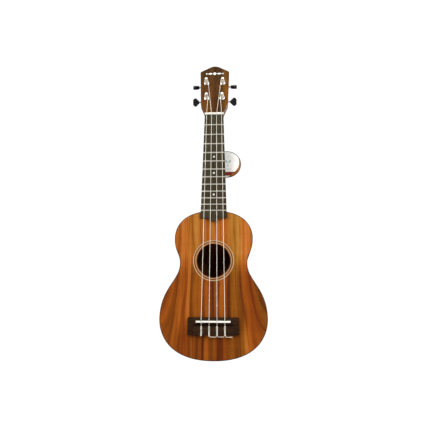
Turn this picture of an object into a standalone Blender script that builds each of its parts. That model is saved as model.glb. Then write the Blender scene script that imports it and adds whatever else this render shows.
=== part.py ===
"""Soprano ukulele built as separate parts, the way a luthier and a tuner maker build it.

The instrument is modelled lying on its back on a bench: x runs across it, y along the neck
towards the headstock, z up towards the strings.  The empty `bench` stands it upright, so in
the world +Z runs along the neck and the soundboard faces -Y.  The origin is where a wall
hanger's yoke holds it: on the centre line, level with the neck's glued face, just above the nut.
"""

import math

import bmesh
import bpy
from mathutils import Vector
from mathutils.geometry import interpolate_bezier

# ---------------------------------------------------------------- driving dimensions (metres)
GAP = 0.0003                    # clearance between neighbouring parts
WELD = 1e-6

# strings, nut and frets
SCALE_LENGTH = 0.350
FRET_COUNT = 12
NUT_THICKNESS = 0.004
NUT_TOP = 0.0069
NUT_STRING_SPREAD = 0.0262
SADDLE_STRING_SPREAD = 0.0362
STRING_RADIUS = 0.00038
STRING_HEIGHT_AT_NUT = 0.0062
STRING_HEIGHT_AT_SADDLE = 0.0098
NUT_FRONT = -NUT_THICKNESS
BRIDGE_LINE = NUT_FRONT - SCALE_LENGTH - 0.0017      # the saddle, with its compensation

# fretboard
BOARD_THICKNESS = 0.0042
BOARD_WIDTH_AT_NUT = 0.0330
BOARD_WIDTH_AT_FRET_12 = 0.0428
BOARD_WIDTH_AT_END = 0.0446
BOARD_CORNER = -0.1907
BOARD_TIP = -0.1984
FRET_WIDTH = 0.0020
FRET_CROWN = 0.0009
FRET_SEAT = 0.00012
TANG_WIDTH = 0.0006
TANG_DEPTH = 0.0016

# body outline: (half width, place along the body, handle up, handle down)
BODY_TOP = -0.1785
BODY_BOTTOM = -0.4130
TOP_HANDLE = 0.0590
BOTTOM_HANDLE = 0.0720
UPPER_BOUT = (0.0635, -0.2235, 0.0100, 0.0240)
WAIST = (0.0540, -0.2660, 0.0165, 0.0275)
LOWER_BOUT = (0.0840, -0.3510, 0.0475, 0.0200)
OUTLINE_STEPS = 12

# body thicknesses
PLATE_THICKNESS = 0.0022
RIB_THICKNESS = 0.0020
RIB_DEPTH = 0.0580
LINING_WIDTH = 0.0050
LINING_DEPTH = 0.0060
BLOCK_HALF_WIDTH = 0.0240
BLOCK_LENGTH = 0.0180
BRACE_WIDTH = 0.0060
BRACE_DEPTH = 0.0080
UPPER_BRACE = -0.2190
LOWER_BRACE = -0.3030
BACK_BRACE = -0.2990
RIB_FRONT = -PLATE_THICKNESS - GAP
RIB_BACK = RIB_FRONT - RIB_DEPTH
BACK_FACE = RIB_BACK - GAP - PLATE_THICKNESS

SOUNDHOLE_CENTRE = -0.2610
SOUNDHOLE_RADIUS = 0.0270

# bridge
BRIDGE_HALF_LENGTH = 0.0396
BRIDGE_FRONT = -0.3492
BRIDGE_BACK = -0.3755
BRIDGE_CORNER = 0.0015
WING_HEIGHT = 0.0036
WING_STEP = -0.3655
PLATFORM_HALF_LENGTH = 0.0325
PLATFORM_HEIGHT = 0.0060
TROUGH_FLOOR = 0.0031
TIE_BLOCK_FRONT = -0.3632
TIE_BLOCK_HEIGHT = 0.0068
TIE_HOLE_HEIGHT = 0.0038
TIE_HOLE_RADIUS = 0.0008
SADDLE_HALF_LENGTH = 0.0266
SADDLE_THICKNESS = 0.0030
SADDLE_BOTTOM = 0.0033

# neck
NECK_DEPTH_AT_NUT = 0.0142
NECK_DEPTH_AT_HEEL = 0.0165
HEEL_START = -0.1400
HEEL_DEPTH = 0.0600
HEEL_CAP = 0.0545

# headstock, in its own frame: y along it, z out of its front face
HEAD_TILT = math.radians(12.0)
HEAD_FACE_AT_NUT = 0.0022
OVERLAY_THICKNESS = 0.0020
HEAD_BACK = -0.0130
HEAD_APEX = 0.1150
HEAD_EDGE = [                   # (half width, distance from the nut)
    (0.0163, 0.0006),
    (0.0186, 0.0075),
    (0.0243, 0.0225),
    (0.0253, 0.0500),
    (0.0271, 0.1000),
]

# tuners: the post, and the worm beside it towards the tip of the headstock
LOWER_POST = (0.0140, 0.0354)
UPPER_POST = (0.0150, 0.0723)
POST_RADIUS = 0.0030
POST_WAIST = 0.0023
POST_TOP = 0.0122
GEAR_SEAT_RADIUS = 0.0018
BUSHING_RADIUS = 0.0050
BUSHING_SLEEVE = 0.0040
BUSHING_FLANGE = 0.0013
BUSHING_LENGTH = 0.0095
BUSHING_BORE = POST_RADIUS + GAP
TUNER_PLATE_THICKNESS = 0.0010
TUNER_PLATE_HALF_WIDTH = 0.0066
EAR_THICKNESS = 0.0012
EAR_INNER_FACE = 0.0051
EAR_HALF_LENGTH = 0.0030
GEAR_TEETH = 14
GEAR_TIP_RADIUS = 0.00465
GEAR_ROOT_RADIUS = 0.00360
GEAR_PITCH_RADIUS = 0.00430
GEAR_THICKNESS = 0.0030
TOOTH_TIP = 0.00040
TOOTH_ROOT = 0.00100
WORM_CORE = 0.00125
WORM_RADIUS = 0.00230
WORM_TURNS = 2.8
WORM_SPACING = GEAR_PITCH_RADIUS + 0.0019
WORM_AXIS = HEAD_BACK - GAP - TUNER_PLATE_THICKNESS - GAP - WORM_RADIUS - 0.0001
WORM_PITCH = 2.0 * math.pi * GEAR_PITCH_RADIUS / GEAR_TEETH
SHAFT_RADIUS = 0.0015
BUTTON_START = 0.0149
BUTTON_LENGTH = 0.0115
BUTTON_THICKNESS = 0.0058
UPPER_BUTTON_TURN = math.radians(-38.0)
LOWER_BUTTON_TURN = math.radians(48.0)

# hang tag behind the neck
TAG_CENTRE = (0.0221, -0.0898)
TAG_RADIUS = 0.0246
TAG_THICKNESS = 0.0010


# ---------------------------------------------------------------- scene helpers
def clear_scene():
    for old in list(bpy.data.objects):
        bpy.data.objects.remove(old, do_unlink=True)


def make_collection(name):
    collection = bpy.data.collections.new(name)
    bpy.context.scene.collection.children.link(collection)
    return collection


def make_frame(name, parent=None, location=(0.0, 0.0, 0.0), rotation=(0.0, 0.0, 0.0)):
    frame = bpy.data.objects.new(name, None)
    frame.empty_display_size = 0.02
    frame.parent = parent
    frame.location = location
    frame.rotation_euler = rotation
    parts.objects.link(frame)
    return frame


def make_material(name, colour, roughness, metallic=0.0):
    material = bpy.data.materials.new(name)
    material.use_nodes = True
    shader = material.node_tree.nodes["Principled BSDF"]
    shader.inputs["Base Color"].default_value = (*colour, 1.0)
    shader.inputs["Roughness"].default_value = roughness
    shader.inputs["Metallic"].default_value = metallic
    return material


def finish(solid, material, smooth_angle=35.0):
    """Give a solid its material and smooth its rounds but not its edges."""
    solid.data.materials.clear()
    solid.data.materials.append(MATERIALS[material])
    if solid.type == 'MESH':
        solid.data.shade_smooth()
        solid.data.set_sharp_from_angle(angle=math.radians(smooth_angle))
    return solid


def solid_from_bmesh(name, bm, frame, location=(0.0, 0.0, 0.0), rotation=(0.0, 0.0, 0.0)):
    mesh = bpy.data.meshes.new(name)
    bm.to_mesh(mesh)
    bm.free()
    solid = bpy.data.objects.new(name, mesh)
    solid.parent = frame
    solid.location = location
    solid.rotation_euler = rotation
    parts.objects.link(solid)
    return solid


def box(name, frame, low, high):
    """A box between two corners."""
    low = Vector(low)
    high = Vector(high)
    bm = bmesh.new()
    bmesh.ops.create_cube(bm, size=1.0)
    bmesh.ops.scale(bm, vec=high - low, verts=bm.verts)
    return solid_from_bmesh(name, bm, frame, (low + high) / 2.0)


def rod(name, frame, radius, length, location, rotation=(0.0, 0.0, 0.0), sides=24):
    """A cylinder about its own z axis, centred on its location."""
    bm = bmesh.new()
    bmesh.ops.create_cone(
        bm, cap_ends=True, segments=sides, radius1=radius, radius2=radius, depth=length)
    return solid_from_bmesh(name, bm, frame, location, rotation)


def extruded(name, loops, bottom, top, frame, location=(0.0, 0.0), rotation=(0.0, 0.0, 0.0)):
    """A flat outline, with any holes, given a thickness along its z axis and welded."""
    curve = bpy.data.curves.new(name, 'CURVE')
    curve.dimensions = '2D'
    curve.fill_mode = 'BOTH'
    curve.extrude = (top - bottom) / 2.0
    for loop in loops:
        spline = curve.splines.new('POLY')
        spline.points.add(len(loop) - 1)
        for point, (x, y) in zip(spline.points, loop):
            point.co = (x, y, 0.0, 1.0)
        spline.use_cyclic_u = True
    flat = bpy.data.objects.new(name + "_outline", curve)
    parts.objects.link(flat)
    depsgraph = bpy.context.evaluated_depsgraph_get()
    mesh = bpy.data.meshes.new_from_object(flat.evaluated_get(depsgraph))
    bpy.data.objects.remove(flat, do_unlink=True)
    bm = bmesh.new()
    bm.from_mesh(mesh)
    bpy.data.meshes.remove(mesh)
    bmesh.ops.remove_doubles(bm, verts=bm.verts, dist=WELD)
    bmesh.ops.translate(bm, vec=(0.0, 0.0, (top + bottom) / 2.0), verts=bm.verts)
    return solid_from_bmesh(name, bm, frame, (*location, 0.0), rotation)


def loft(name, rings, frame, location=(0.0, 0.0, 0.0), rotation=(0.0, 0.0, 0.0)):
    """A closed skin over rings that have the same number of points, with flat ends."""
    bm = bmesh.new()
    skin = [[bm.verts.new(point) for point in ring] for ring in rings]
    count = len(rings[0])
    for near, far in zip(skin, skin[1:]):
        for i in range(count):
            j = (i + 1) % count
            bm.faces.new((near[i], near[j], far[j], far[i]))
    bm.faces.new(skin[0])
    bm.faces.new(skin[-1])
    bmesh.ops.recalc_face_normals(bm, faces=bm.faces)
    return solid_from_bmesh(name, bm, frame, location, rotation)


def turned(name, profile, frame, location, sides=32):
    """A part turned on a lathe: a profile of (radius, height), spun about its z axis."""
    bm = bmesh.new()
    line = [bm.verts.new((radius, 0.0, height)) for radius, height in profile]
    for start, end in zip(line, line[1:]):
        bm.edges.new((start, end))
    solid = solid_from_bmesh(name, bm, frame, location)
    screw = solid.modifiers.new("Turned", 'SCREW')
    screw.steps = sides
    screw.render_steps = sides
    screw.use_merge_vertices = True
    screw.merge_threshold = 0.00001
    return solid


def tube(name, points, radius, frame, material):
    """A round cord along a list of points."""
    curve = bpy.data.curves.new(name, 'CURVE')
    curve.dimensions = '3D'
    curve.bevel_depth = radius
    curve.bevel_resolution = 2
    curve.use_fill_caps = True
    spline = curve.splines.new('POLY')
    spline.points.add(len(points) - 1)
    for point, place in zip(spline.points, points):
        point.co = (*place, 1.0)
    cord = bpy.data.objects.new(name, curve)
    cord.parent = frame
    parts.objects.link(cord)
    return finish(cord, material)


def boolean(solid, other, operation):
    step = solid.modifiers.new(operation.title(), 'BOOLEAN')
    step.operation = operation
    step.solver = 'EXACT'
    step.object = other
    parts.objects.unlink(other)
    tools.objects.link(other)
    other.hide_render = True
    other.display_type = 'WIRE'


def soften(solid, width, segments=2):
    """Round a solid's edges."""
    bevel = solid.modifiers.new("Rounded edges", 'BEVEL')
    bevel.width = width
    bevel.segments = segments
    bevel.limit_method = 'ANGLE'
    bevel.angle_limit = math.radians(40.0)


# ---------------------------------------------------------------- outlines
def arc(centre, radius, start, end, steps):
    """Points on an arc, in degrees."""
    angles = [math.radians(start + (end - start) * i / steps) for i in range(steps + 1)]
    return [(centre[0] + radius * math.cos(a), centre[1] + radius * math.sin(a)) for a in angles]


def circle(centre, radius, sides):
    return arc(centre, radius, 0.0, 360.0, sides)[:-1]


def mirrored(half):
    """Close an outline from its right half, listed from the top to the bottom."""
    left = [(-x, y) for x, y in reversed(half) if abs(x) > WELD]
    return list(half) + left


def bezier(start, start_handle, end_handle, end, steps):
    knots = [Vector((*point, 0.0)) for point in (start, start_handle, end_handle, end)]
    return [(p.x, p.y) for p in interpolate_bezier(*knots, steps + 1)]


def rounded(corners, radius, steps=4):
    """A closed outline with each of its corners rounded."""
    outline = []
    count = len(corners)
    for i, corner in enumerate(corners):
        corner = Vector(corner)
        before = Vector(corners[i - 1])
        after = Vector(corners[(i + 1) % count])
        reach = min(radius, (before - corner).length / 2.5, (after - corner).length / 2.5)
        first = corner + (before - corner).normalized() * reach
        last = corner + (after - corner).normalized() * reach
        for k in range(steps + 1):
            t = k / steps
            point = first * (1 - t) ** 2 + corner * 2 * t * (1 - t) + last * t ** 2
            outline.append((point.x, point.y))
    return outline


def body_half(inset=0.0):
    """The right half of the body outline, from the neck to the tail, moved in by inset."""
    half = []
    start = (0.0, BODY_TOP)
    handle = (TOP_HANDLE, BODY_TOP)
    for width, place, handle_up, handle_down in (UPPER_BOUT, WAIST, LOWER_BOUT):
        half += bezier(start, handle, (width, place + handle_up), (width, place), OUTLINE_STEPS)[:-1]
        start = (width, place)
        handle = (width, place - handle_down)
    half += bezier(start, handle, (BOTTOM_HANDLE, BODY_BOTTOM), (0.0, BODY_BOTTOM), OUTLINE_STEPS)
    moved = []
    last = len(half) - 1
    for i, (x, y) in enumerate(half):
        if i in (0, last):
            along = Vector((1.0, 0.0)) if i == 0 else Vector((-1.0, 0.0))
        else:
            along = (Vector(half[i + 1]) - Vector(half[i - 1])).normalized()
        moved.append((x + along.y * inset, y - along.x * inset))
    return moved


def half_width_at(place, inset):
    """Half the body's width at a place along it, inside an inset outline."""
    half = body_half(inset)
    for (x0, y0), (x1, y1) in zip(half, half[1:]):
        if y1 <= place <= y0:
            return x0 + (x1 - x0) * (y0 - place) / (y0 - y1)
    return 0.0


def beyond(points, limit):
    """The stretch of a half outline that lies further out than limit."""
    kept = []
    for (x0, y0), (x1, y1) in zip(points, points[1:]):
        if (x0 - limit) * (x1 - limit) < 0.0:
            t = (limit - x0) / (x1 - x0)
            kept.append((limit, y0 + (y1 - y0) * t))
        if x1 > limit:
            kept.append((x1, y1))
    return kept


def within(points, limit, top):
    """The stretch of a half outline nearer the centre line than limit, at one end of the body."""
    near = points if top else list(reversed(points))
    kept = []
    for (x0, y0), (x1, y1) in zip(near, near[1:]):
        kept.append((x0, y0))
        if x1 > limit:
            t = (limit - x0) / (x1 - x0)
            kept.append((limit, y0 + (y1 - y0) * t))
            break
    return kept


def board_half_width(place):
    """Half the fretboard's width, which grows evenly from the nut to the twelfth fret."""
    fret_12 = fret_place(12)
    t = (NUT_FRONT - place) / (NUT_FRONT - fret_12)
    return (BOARD_WIDTH_AT_NUT + (BOARD_WIDTH_AT_FRET_12 - BOARD_WIDTH_AT_NUT) * t) / 2.0


def fret_place(number):
    return NUT_FRONT - SCALE_LENGTH * (1.0 - 2.0 ** (-number / 12.0))


# ---------------------------------------------------------------- body
def make_body():
    outline = mirrored(body_half())
    hole = circle((0.0, SOUNDHOLE_CENTRE), SOUNDHOLE_RADIUS, 36)
    finish(extruded("soundboard", [outline, hole], -PLATE_THICKNESS, 0.0, bench), "koa")
    finish(extruded("back_plate", [outline], BACK_FACE, RIB_BACK - GAP, bench), "koa_back")
    for side, name in ((1, "right"), (-1, "left")):
        make_rib(side, "rib_" + name)
        make_lining(side, "front_lining_" + name, RIB_FRONT - LINING_DEPTH, RIB_FRONT)
        make_lining(side, "back_lining_" + name, RIB_BACK, RIB_BACK + LINING_DEPTH)
    make_block("neck_block", top=True)
    make_block("tail_block", top=False)
    make_brace("upper_brace", UPPER_BRACE, RIB_FRONT - BRACE_DEPTH, RIB_FRONT)
    make_brace("lower_brace", LOWER_BRACE, RIB_FRONT - BRACE_DEPTH, RIB_FRONT)
    make_brace("back_brace", BACK_BRACE, RIB_BACK, RIB_BACK + BRACE_DEPTH)


def make_rib(side, name):
    """One bent side, from the seam at the neck to the seam at the tail."""
    seam = GAP / 2.0
    outside = [(max(x, seam) * side, y) for x, y in body_half()]
    inside = [(max(x, seam) * side, y) for x, y in body_half(RIB_THICKNESS)]
    strip = outside + list(reversed(inside))
    finish(extruded(name, [strip], RIB_BACK, RIB_FRONT, bench), "koa_side")


def make_lining(side, name, bottom, top):
    """The strip that widens the glue joint between a rib and a plate, from block to block."""
    limit = BLOCK_HALF_WIDTH + GAP
    outside = beyond(body_half(RIB_THICKNESS + GAP), limit)
    inside = beyond(body_half(RIB_THICKNESS + GAP + LINING_WIDTH), limit)
    strip = [(x * side, y) for x, y in outside + list(reversed(inside))]
    finish(extruded(name, [strip], bottom, top, bench), "spruce")


def make_block(name, top):
    """An end block, fitted to the inside of the ribs."""
    fitted = within(body_half(RIB_THICKNESS + GAP), BLOCK_HALF_WIDTH, top)
    end = fitted[0][1] + (-BLOCK_LENGTH if top else BLOCK_LENGTH)
    outline = mirrored(fitted + [(BLOCK_HALF_WIDTH, end)])
    block = extruded(name, [outline], RIB_BACK, RIB_FRONT, bench)
    finish(block, "spruce")


def make_brace(name, place, bottom, top):
    reach = min(
        half_width_at(place + BRACE_WIDTH / 2.0, RIB_THICKNESS + LINING_WIDTH),
        half_width_at(place - BRACE_WIDTH / 2.0, RIB_THICKNESS + LINING_WIDTH))
    reach -= 0.0015
    half = BRACE_WIDTH / 2.0
    brace = box(name, bench, (-reach, place - half, bottom), (reach, place + half, top))
    finish(brace, "spruce")


# ---------------------------------------------------------------- fretboard, nut and frets
def make_fretboard():
    start = NUT_FRONT - GAP
    fret_12 = fret_place(12)
    end_half = BOARD_WIDTH_AT_END / 2.0
    drop = BOARD_CORNER - BOARD_TIP
    corner = (end_half, BOARD_CORNER)
    edge = [
        (board_half_width(start), start),
        (board_half_width(fret_12 - 0.002), fret_12 - 0.002),
        (end_half, BOARD_CORNER + 0.004),
    ]
    scroll = bezier(
        corner,
        (end_half * 0.55, BOARD_CORNER - drop * 0.10),
        (end_half * 0.22, BOARD_CORNER - drop * 0.35),
        (0.0, BOARD_TIP), 8)
    outline = mirrored(edge + scroll)
    board = extruded("fretboard", [outline], GAP, BOARD_THICKNESS, bench)
    slots = bmesh.new()
    for number in range(1, FRET_COUNT + 1):
        made = bmesh.ops.create_cube(slots, size=1.0)["verts"]
        size = (0.06, TANG_WIDTH + 2.0 * GAP, 2.0 * (TANG_DEPTH + GAP))
        bmesh.ops.scale(slots, vec=size, verts=made)
        bmesh.ops.translate(slots, vec=(0.0, fret_place(number), BOARD_THICKNESS), verts=made)
    boolean(board, solid_from_bmesh("fret_slots", slots, bench), 'DIFFERENCE')
    finish(board, "rosewood")


def make_frets():
    """Each fret is a length of crowned wire with a tang that stands in the board's slot."""
    crown = [
        (FRET_WIDTH / 2.0 * math.cos(a), FRET_SEAT + (FRET_CROWN - FRET_SEAT) * math.sin(a))
        for a in (math.pi * i / 8.0 for i in range(9))
    ]
    tang = [
        (-TANG_WIDTH / 2.0, FRET_SEAT),
        (-TANG_WIDTH / 2.0, -TANG_DEPTH),
        (TANG_WIDTH / 2.0, -TANG_DEPTH),
        (TANG_WIDTH / 2.0, FRET_SEAT),
    ]
    for number in range(1, FRET_COUNT + 1):
        place = fret_place(number)
        reach = board_half_width(place) - 0.0003
        rings = []
        for x, trim in ((-reach, 0.35), (-reach + 0.0007, 1.0), (reach - 0.0007, 1.0), (reach, 0.35)):
            low = [(x, y, FRET_SEAT + (z - FRET_SEAT) * trim) for y, z in crown]
            rings.append(low + [(x, y, z) for y, z in tang])
        fret = loft("fret_%02d" % number, rings, bench, (0.0, place, BOARD_THICKNESS))
        finish(fret, "nickel")


def make_nut():
    half = BOARD_WIDTH_AT_NUT / 2.0
    back = -GAP * 0.5
    front = NUT_FRONT
    profile = [
        (front, GAP), (back, GAP), (back, NUT_TOP - 0.0016), (back - 0.0006, NUT_TOP - 0.0007),
        (back - 0.0016, NUT_TOP - 0.0001), (front + 0.0010, NUT_TOP), (front, NUT_TOP - 0.0006),
    ]
    rings = [[(x, y, z) for y, z in profile] for x in (-half, half)]
    nut = loft("nut", rings, bench)
    for number in range(4):
        x = string_x(number, NUT_STRING_SPREAD)
        run = head_point(*wrap_start(number)) - Vector((x, front, STRING_HEIGHT_AT_NUT))
        slot = string_channel("nut_slot_%d" % number, x, front, STRING_HEIGHT_AT_NUT, run)
        boolean(nut, slot, 'DIFFERENCE')
    finish(nut, "bone")


def string_channel(name, x, y, z, run):
    """A cutter along a string's run over the nut, open at the top."""
    half = STRING_RADIUS + GAP
    rings = []
    for reach in (-0.004, 0.0, 0.009):
        place = run / run.y * max(reach, 0.0)
        middle = x + place.x
        floor = z + place.z - half
        rings.append([
            (middle - half, y + reach, z + 0.004), (middle - half, y + reach, floor),
            (middle + half, y + reach, floor), (middle + half, y + reach, z + 0.004)])
    return loft(name, rings, bench)


# ---------------------------------------------------------------- bridge and saddle
def make_bridge():
    ends = [
        (-BRIDGE_HALF_LENGTH, BRIDGE_BACK), (BRIDGE_HALF_LENGTH, BRIDGE_BACK),
        (BRIDGE_HALF_LENGTH, BRIDGE_FRONT), (-BRIDGE_HALF_LENGTH, BRIDGE_FRONT)]
    bridge = extruded("bridge", [rounded(ends, BRIDGE_CORNER, 2)], GAP, WING_HEIGHT, bench)
    slot_half = SADDLE_THICKNESS / 2.0 + GAP
    raised = [
        (BRIDGE_FRONT - 0.0010, 0.0010), (BRIDGE_FRONT - 0.0010, WING_HEIGHT + 0.0006),
        (BRIDGE_FRONT - 0.0026, PLATFORM_HEIGHT - 0.0006),
        (BRIDGE_FRONT - 0.0034, PLATFORM_HEIGHT),
        (BRIDGE_LINE - 0.0034, PLATFORM_HEIGHT), (BRIDGE_LINE - 0.0040, PLATFORM_HEIGHT - 0.0008),
        (BRIDGE_LINE - 0.0046, TROUGH_FLOOR), (TIE_BLOCK_FRONT + 0.0006, TROUGH_FLOOR),
        (TIE_BLOCK_FRONT, TIE_BLOCK_HEIGHT - 0.0005), (TIE_BLOCK_FRONT - 0.0006, TIE_BLOCK_HEIGHT),
        (BRIDGE_BACK + 0.0012, TIE_BLOCK_HEIGHT), (BRIDGE_BACK + 0.0005, TIE_BLOCK_HEIGHT - 0.0006),
        (BRIDGE_BACK + 0.0005, 0.0010)]
    rings = []
    for x, low in ((-1.0, 0.62), (-0.93, 1.0), (0.93, 1.0), (1.0, 0.62)):
        reach = x * PLATFORM_HALF_LENGTH
        rings.append([(reach, y, z * low) for y, z in raised])
    boolean(bridge, loft("bridge_middle", rings, bench), 'UNION')
    trough = box(
        "bridge_trough", bench,
        (-PLATFORM_HALF_LENGTH + 0.0045, TIE_BLOCK_FRONT + 0.0006, TROUGH_FLOOR),
        (PLATFORM_HALF_LENGTH - 0.0045, BRIDGE_LINE - 0.0046, TIE_BLOCK_HEIGHT))
    boolean(bridge, trough, 'DIFFERENCE')
    seat = box(
        "saddle_slot", bench,
        (-SADDLE_HALF_LENGTH - GAP, BRIDGE_LINE - slot_half, SADDLE_BOTTOM - GAP),
        (SADDLE_HALF_LENGTH + GAP, BRIDGE_LINE + slot_half, 0.02))
    boolean(bridge, seat, 'DIFFERENCE')
    for side in (-1, 1):
        step = box(
            "wing_step", bench,
            (side * 0.0525 - 0.0165, BRIDGE_BACK - 0.01, WING_HEIGHT - 0.0008),
            (side * 0.0525 + 0.0165, WING_STEP, 0.02))
        boolean(bridge, step, 'DIFFERENCE')
    for number in range(4):
        place = (string_x(number, SADDLE_STRING_SPREAD), BRIDGE_BACK, TIE_HOLE_HEIGHT)
        hole = rod("tie_hole", bench, TIE_HOLE_RADIUS, 0.04, place, (math.pi / 2.0, 0.0, 0.0), 8)
        boolean(bridge, hole, 'DIFFERENCE')
    finish(bridge, "rosewood_bridge")


def make_saddle():
    half = SADDLE_THICKNESS / 2.0
    top = STRING_HEIGHT_AT_SADDLE - STRING_RADIUS - GAP
    crown = arc((0.0, top - half), half, 0.0, 180.0, 8)
    section = [(-half, SADDLE_BOTTOM), (half, SADDLE_BOTTOM)] + crown
    rings = []
    for x, low in ((-SADDLE_HALF_LENGTH, 0.0012), (-SADDLE_HALF_LENGTH + 0.0015, 0.0),
                   (SADDLE_HALF_LENGTH - 0.0015, 0.0), (SADDLE_HALF_LENGTH, 0.0012)):
        rings.append([(x, y, z - low if z > SADDLE_BOTTOM + 0.002 else z) for y, z in section])
    saddle = loft("saddle", rings, bench, (0.0, BRIDGE_LINE, 0.0))
    finish(saddle, "bone")


# ---------------------------------------------------------------- neck and headstock
def head_outline():
    """The headstock's outline: flared sides and a low gabled top with a rounded peak."""
    shoulder = HEAD_EDGE[-1]
    half = bezier(
        (0.0, HEAD_APEX), (0.0040, HEAD_APEX), (0.0060, HEAD_APEX - 0.0010),
        (0.0095, HEAD_APEX - 0.0031), 5)
    half.append((shoulder[0] - 0.0007, shoulder[1] + 0.0014))
    half += list(reversed(HEAD_EDGE))
    return mirrored(half)


def neck_ring(place, half_width, top, depth, floor):
    """One section of the neck: flat in front, rounded behind, cut off level at the heel's cap."""
    ring = []
    for i in range(17):
        angle = math.pi * i / 16.0
        z = top - depth * math.sin(angle) ** 0.85
        ring.append((half_width * math.cos(angle), place, max(z, floor)))
    return ring


def neck_depth(place):
    """The shaft's depth behind its glued face, which shrinks evenly towards the nut."""
    t = (place - HEEL_START) / (NUT_FRONT - HEEL_START)
    return NECK_DEPTH_AT_HEEL + (NECK_DEPTH_AT_NUT - NECK_DEPTH_AT_HEEL) * t


def make_neck():
    slope = math.tan(HEAD_TILT)
    rings = []
    end = BODY_TOP - 0.010
    heel_steps = 9
    for i in range(heel_steps + 1):
        place = end + (HEEL_START - end) * i / heel_steps
        reach = min(1.0, (HEEL_START - place) / (HEEL_START - BODY_TOP))
        depth = NECK_DEPTH_AT_HEEL + (HEEL_DEPTH - NECK_DEPTH_AT_HEEL) * reach ** 2.4
        rings.append(neck_ring(place, board_half_width(place), 0.0, depth, -HEEL_CAP))
    for i in range(1, 4):
        place = HEEL_START + (NUT_FRONT - HEEL_START) * i / 3.0
        rings.append(neck_ring(place, board_half_width(place), 0.0, neck_depth(place), -1.0))
    for place, width, depth in ((0.0, 0.0163, 0.0143), (0.009, 0.0152, 0.0141), (0.018, 0.0122, 0.0127),
                                (0.028, 0.0070, 0.0104)):
        top = HEAD_FACE_AT_NUT - OVERLAY_THICKNESS - 2.0 * GAP - slope * place
        rings.append(neck_ring(place, width, min(top, 0.0), depth, -1.0))
    neck = loft("neck", rings, bench)
    wood_top = -OVERLAY_THICKNESS - GAP
    slab = extruded("headstock_slab", [head_outline()], HEAD_BACK, wood_top, head)
    boolean(neck, slab, 'UNION')
    top_half = [(x, y) for x, y in body_half(-GAP) if y > WAIST[1]]
    seat = mirrored(top_half)
    boolean(neck, extruded("body_seat", [seat], -0.08, 0.01, bench), 'DIFFERENCE')
    for post_x, post_y in (LOWER_POST, UPPER_POST):
        for side in (-1, 1):
            bore = rod(
                "post_bore", head, BUSHING_SLEEVE + GAP, 0.05, (side * post_x, post_y, HEAD_BACK),
                sides=16)
            boolean(neck, bore, 'DIFFERENCE')
    finish(neck, "mahogany")


def make_overlay():
    holes = []
    for post_x, post_y in (LOWER_POST, UPPER_POST):
        for side in (-1, 1):
            holes.append(circle((side * post_x, post_y), BUSHING_SLEEVE + GAP, 16))
    overlay = extruded("headstock_overlay", [head_outline()] + holes, -OVERLAY_THICKNESS, 0.0, head)
    finish(overlay, "rosewood_head")


# ---------------------------------------------------------------- tuners
def make_tuner(name, side, post_x, post_y, button_turn):
    """A geared tuner: the plate behind the headstock, the post through it, the worm beside it."""
    x = side * post_x
    flip = 0.0 if side > 0 else math.pi
    worm_frame = make_frame(
        name + "_worm_axis", head, (x, post_y + WORM_SPACING, WORM_AXIS), (0.0, flip, 0.0))
    make_bushing(name + "_bushing", (x, post_y, 0.0))
    make_post(name + "_post", (x, post_y, 0.0))
    make_gear(name + "_gear", (x, post_y, WORM_AXIS))
    make_tuner_plate(name + "_plate", (x, post_y, HEAD_BACK - GAP))
    make_worm_shaft(name + "_worm_shaft", worm_frame)
    make_button(name + "_button", worm_frame, button_turn * side)


def make_bushing(name, location):
    profile = [
        (BUSHING_BORE, BUSHING_FLANGE), (BUSHING_RADIUS - 0.0010, BUSHING_FLANGE),
        (BUSHING_RADIUS - 0.0002, BUSHING_FLANGE - 0.0005), (BUSHING_RADIUS, GAP),
        (BUSHING_SLEEVE, GAP), (BUSHING_SLEEVE, -BUSHING_LENGTH), (BUSHING_BORE, -BUSHING_LENGTH),
        (BUSHING_BORE, BUSHING_FLANGE)]
    finish(turned(name, profile, head, location, 20), "chrome")


def make_post(name, location):
    """The post that winds the string, with its waist, its string hole and its gear seat."""
    seat_top = HEAD_BACK - TUNER_PLATE_THICKNESS - 2.0 * GAP
    profile = [
        (0.0, POST_TOP), (0.0014, POST_TOP - 0.0002), (0.0024, POST_TOP - 0.0009),
        (POST_RADIUS - 0.0001, POST_TOP - 0.0022), (POST_WAIST, POST_TOP - 0.0040),
        (POST_WAIST, 0.0036), (POST_RADIUS, 0.0024), (POST_RADIUS, seat_top),
        (GEAR_SEAT_RADIUS, seat_top), (GEAR_SEAT_RADIUS, WORM_AXIS - 0.0028),
        (0.0, WORM_AXIS - 0.0028)]
    post = turned(name, profile, head, location, 18)
    place = (location[0], location[1], 0.0092)
    hole = rod(name + "_string_hole", head, 0.0009, 0.02, place, (math.pi / 2.0, 0.0, 0.0), 8)
    boolean(post, hole, 'DIFFERENCE')
    finish(post, "chrome")


def make_gear(name, location):
    """A worm wheel: its teeth are slanted by the worm's lead angle."""
    lead = math.atan(WORM_PITCH / (2.0 * math.pi * (WORM_SPACING - GEAR_PITCH_RADIUS)))
    half = GEAR_THICKNESS / 2.0
    rings = []
    for z in (-half, half):
        twist = -z * math.tan(lead) / GEAR_PITCH_RADIUS
        ring = []
        for tooth in range(GEAR_TEETH):
            middle = math.pi / 2.0 + 2.0 * math.pi * (tooth + 0.5) / GEAR_TEETH + twist
            for radius, width in ((GEAR_ROOT_RADIUS, -TOOTH_ROOT), (GEAR_TIP_RADIUS, -TOOTH_TIP),
                                  (GEAR_TIP_RADIUS, TOOTH_TIP), (GEAR_ROOT_RADIUS, TOOTH_ROOT)):
                angle = middle + width / 2.0 / radius
                ring.append((radius * math.cos(angle), radius * math.sin(angle), z))
        rings.append(ring)
    gear = loft(name, rings, head, location)
    bore = rod(name + "_bore", head, GEAR_SEAT_RADIUS + GAP, 0.01, location, sides=16)
    boolean(gear, bore, 'DIFFERENCE')
    finish(gear, "brass", 20.0)


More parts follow.
